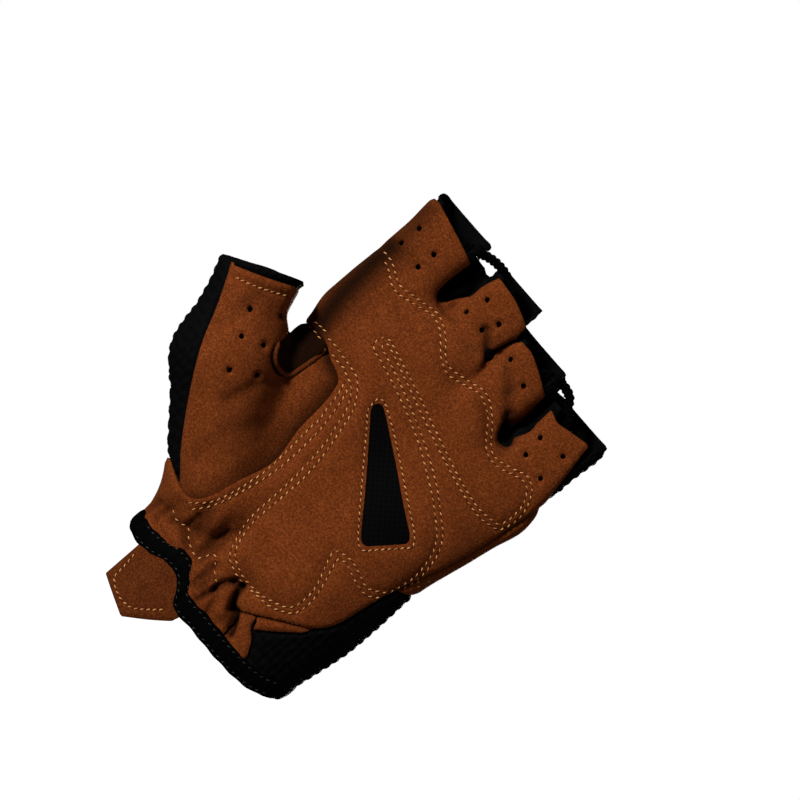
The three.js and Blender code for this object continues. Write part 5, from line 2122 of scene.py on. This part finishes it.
class Studio:
    """Floor, lights and the rolled long-lens camera."""

    def white(self) -> bpy.types.Material:
        """Matt white paint, lit from within a little so that it stays pale in every view."""
        material, _, shader = start_material("white studio paint")
        set_inputs(shader, {"Base Color": linear("#f4f4f4"), "Roughness": 0.9})
        set_inputs(shader, {"Emission Color": (1, 1, 1, 1), "Emission Strength": 1.0})
        return material

    def floor(self, height: float) -> None:
        """Lays a wide pale floor below the glove.

        Args:
            height: where it lies, in metres.
        """
        bpy.ops.mesh.primitive_plane_add(size=6.0, location=(0, 0, height))
        floor = bpy.context.object
        floor.name = "studio_floor"
        floor.data.materials.append(self.white())
        floor.visible_diffuse = False
        floor.visible_glossy = False

    def light(self, name: str, at: tuple[float, float, float], size: float, power: float) -> None:
        """Adds a square soft light that faces the glove.

        Args:
            name: the light's name.
            at: its place, in metres.
            size: its side, in metres.
            power: its power in watts.
        """
        data = bpy.data.lights.new(name, "AREA")
        data.shape = "SQUARE"
        data.size = size
        data.energy = power
        light = bpy.data.objects.new(name, data)
        light.location = at
        aim = Vector((0, 0, 0.07)) - Vector(at)
        light.rotation_euler = aim.to_track_quat("-Z", "Y").to_euler()
        bpy.context.scene.collection.objects.link(light)

    def world(self, seen: float, cast: float) -> None:
        """Sets a white surround, brighter to the eye than the light that it casts.

        Args:
            seen: its brightness in the picture.
            cast: how strongly it lights the glove.
        """
        world = bpy.data.worlds.new("white surround")
        bpy.context.scene.world = world
        world.use_nodes = True
        tree = world.node_tree
        background = tree.nodes["Background"]
        path = add_node(tree, "ShaderNodeLightPath", {}, {})
        strength = add_node(
            tree,
            "ShaderNodeMapRange",
            {"To Min": cast, "To Max": seen},
            {"Value": path.outputs["Is Camera Ray"]},
        )
        background.inputs["Color"].default_value = (1, 1, 1, 1)
        tree.links.new(strength.outputs[0], background.inputs["Strength"])

    def camera(self) -> None:
        """Sets the long lens in front of the palm, rolled so that the fingers point up and right."""
        width = 800 / PICTURE_SCALE * MM
        lens, sensor = 135.0, 36.0
        away = lens / sensor * width
        middle_x, middle_z = picture_place(400, 400)
        data = bpy.data.cameras.new("camera")
        data.lens = lens
        data.sensor_width = sensor
        camera = bpy.data.objects.new("camera", data)
        right = Vector((ROLL[0], 0, ROLL[1]))
        up = Vector((-ROLL[1], 0, ROLL[0]))
        back = right.cross(up)
        turn = Matrix((right, up, back)).transposed().to_4x4()
        turn.translation = Vector((middle_x * MM, PALM_PLANE * MM - away, middle_z * MM))
        camera.matrix_world = turn
        bpy.context.scene.collection.objects.link(camera)
        bpy.context.scene.camera = camera

    def build(self) -> None:
        """Sets up the whole studio."""
        scene = bpy.context.scene
        scene.view_settings.view_transform = "Standard"
        scene.view_settings.look = "None"
        self.camera()
        self.floor(-0.26)
        self.world(1.0, 0.06)
        self.light("key", (-0.80, -0.88, 0.24), 0.16, 18.3)
        self.light("fill", (1.1, -0.5, 0.3), 0.8, 2.2)
        self.light("back", (0.15, 1.3, 0.05), 0.6, 55.0)


def main() -> None:
    """Builds the glove and the studio, and logs the size of most pieces."""
    logging.basicConfig(level=logging.INFO, format="%(name)s: %(message)s")
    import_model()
    bpy.ops.object.select_all(action="DESELECT")
    studio = Studio()
    studio.build()

    suede = Suede().make()
    knit = KnitCotton().make()
    mesh = PerforatedMesh().make()
    tape = WovenTape().make()
    thread = SewingThread().make()
    # Painted shade at the needle holes.
    hole_shade_finish = NeedleHoleShade().make()

    panels = Panels()
    panels.build(suede, knit, mesh)
    cuff = CuffTape().build(tape)
    tab = PullTab().build(suede)
    Piping().build(panels.form, suede)
    Braid(
        "index_braid",
        "index_cord",
        (
            (-32.6, -8.0, 125.5), (-32.6, -8.0, 129.8), (-27.6, -6.3, 132.6), (-22.5, -6.0, 134.3),
            (-17.2, -6.6, 134.1), (-12.4, -7.4, 131.5), (-12.4, -7.4, 126.3),
        ),
    ).build(tape)
    Braid(
        "little_braid",
        "little_cord",
        (
            (12.9, -6.6, 118.4), (12.9, -6.6, 123.0), (17.9, -6.0, 125.2), (23.0, -5.7, 124.6),
            (26.3, -6.6, 121.2), (29.5, -7.6, 117.6), (29.5, -7.6, 113.3),
        ),
    ).build(tape)
    sewing = Stitching()
    sewing.build(panels.relief.rows, panels.suede_pieces, "palm_stitches", thread, hole_shade_finish)
    tab_row = [(Thread.HEM.value, picture_line(TAB_STITCHES))]
    sewing.build(tab_row, [tab], "tab_stitches", thread, hole_shade_finish)
    across = np.linspace(-34.0, 31.0, 80)
    middle = CuffTape.height(across, np.full(80, -PALM_DEPTH))
    rises = (-CuffTape.row_mm, CuffTape.row_mm)
    edges = [(Thread.SEAM.value, np.stack([across, middle + rise], 1)) for rise in rises]
    black_thread = SewingThread("black polyester thread", "#0a0a0a", "#161616").make()
    sewing.build(edges, [cuff], "cuff_stitches", black_thread, tape)


if __name__ == "__main__":
    main()
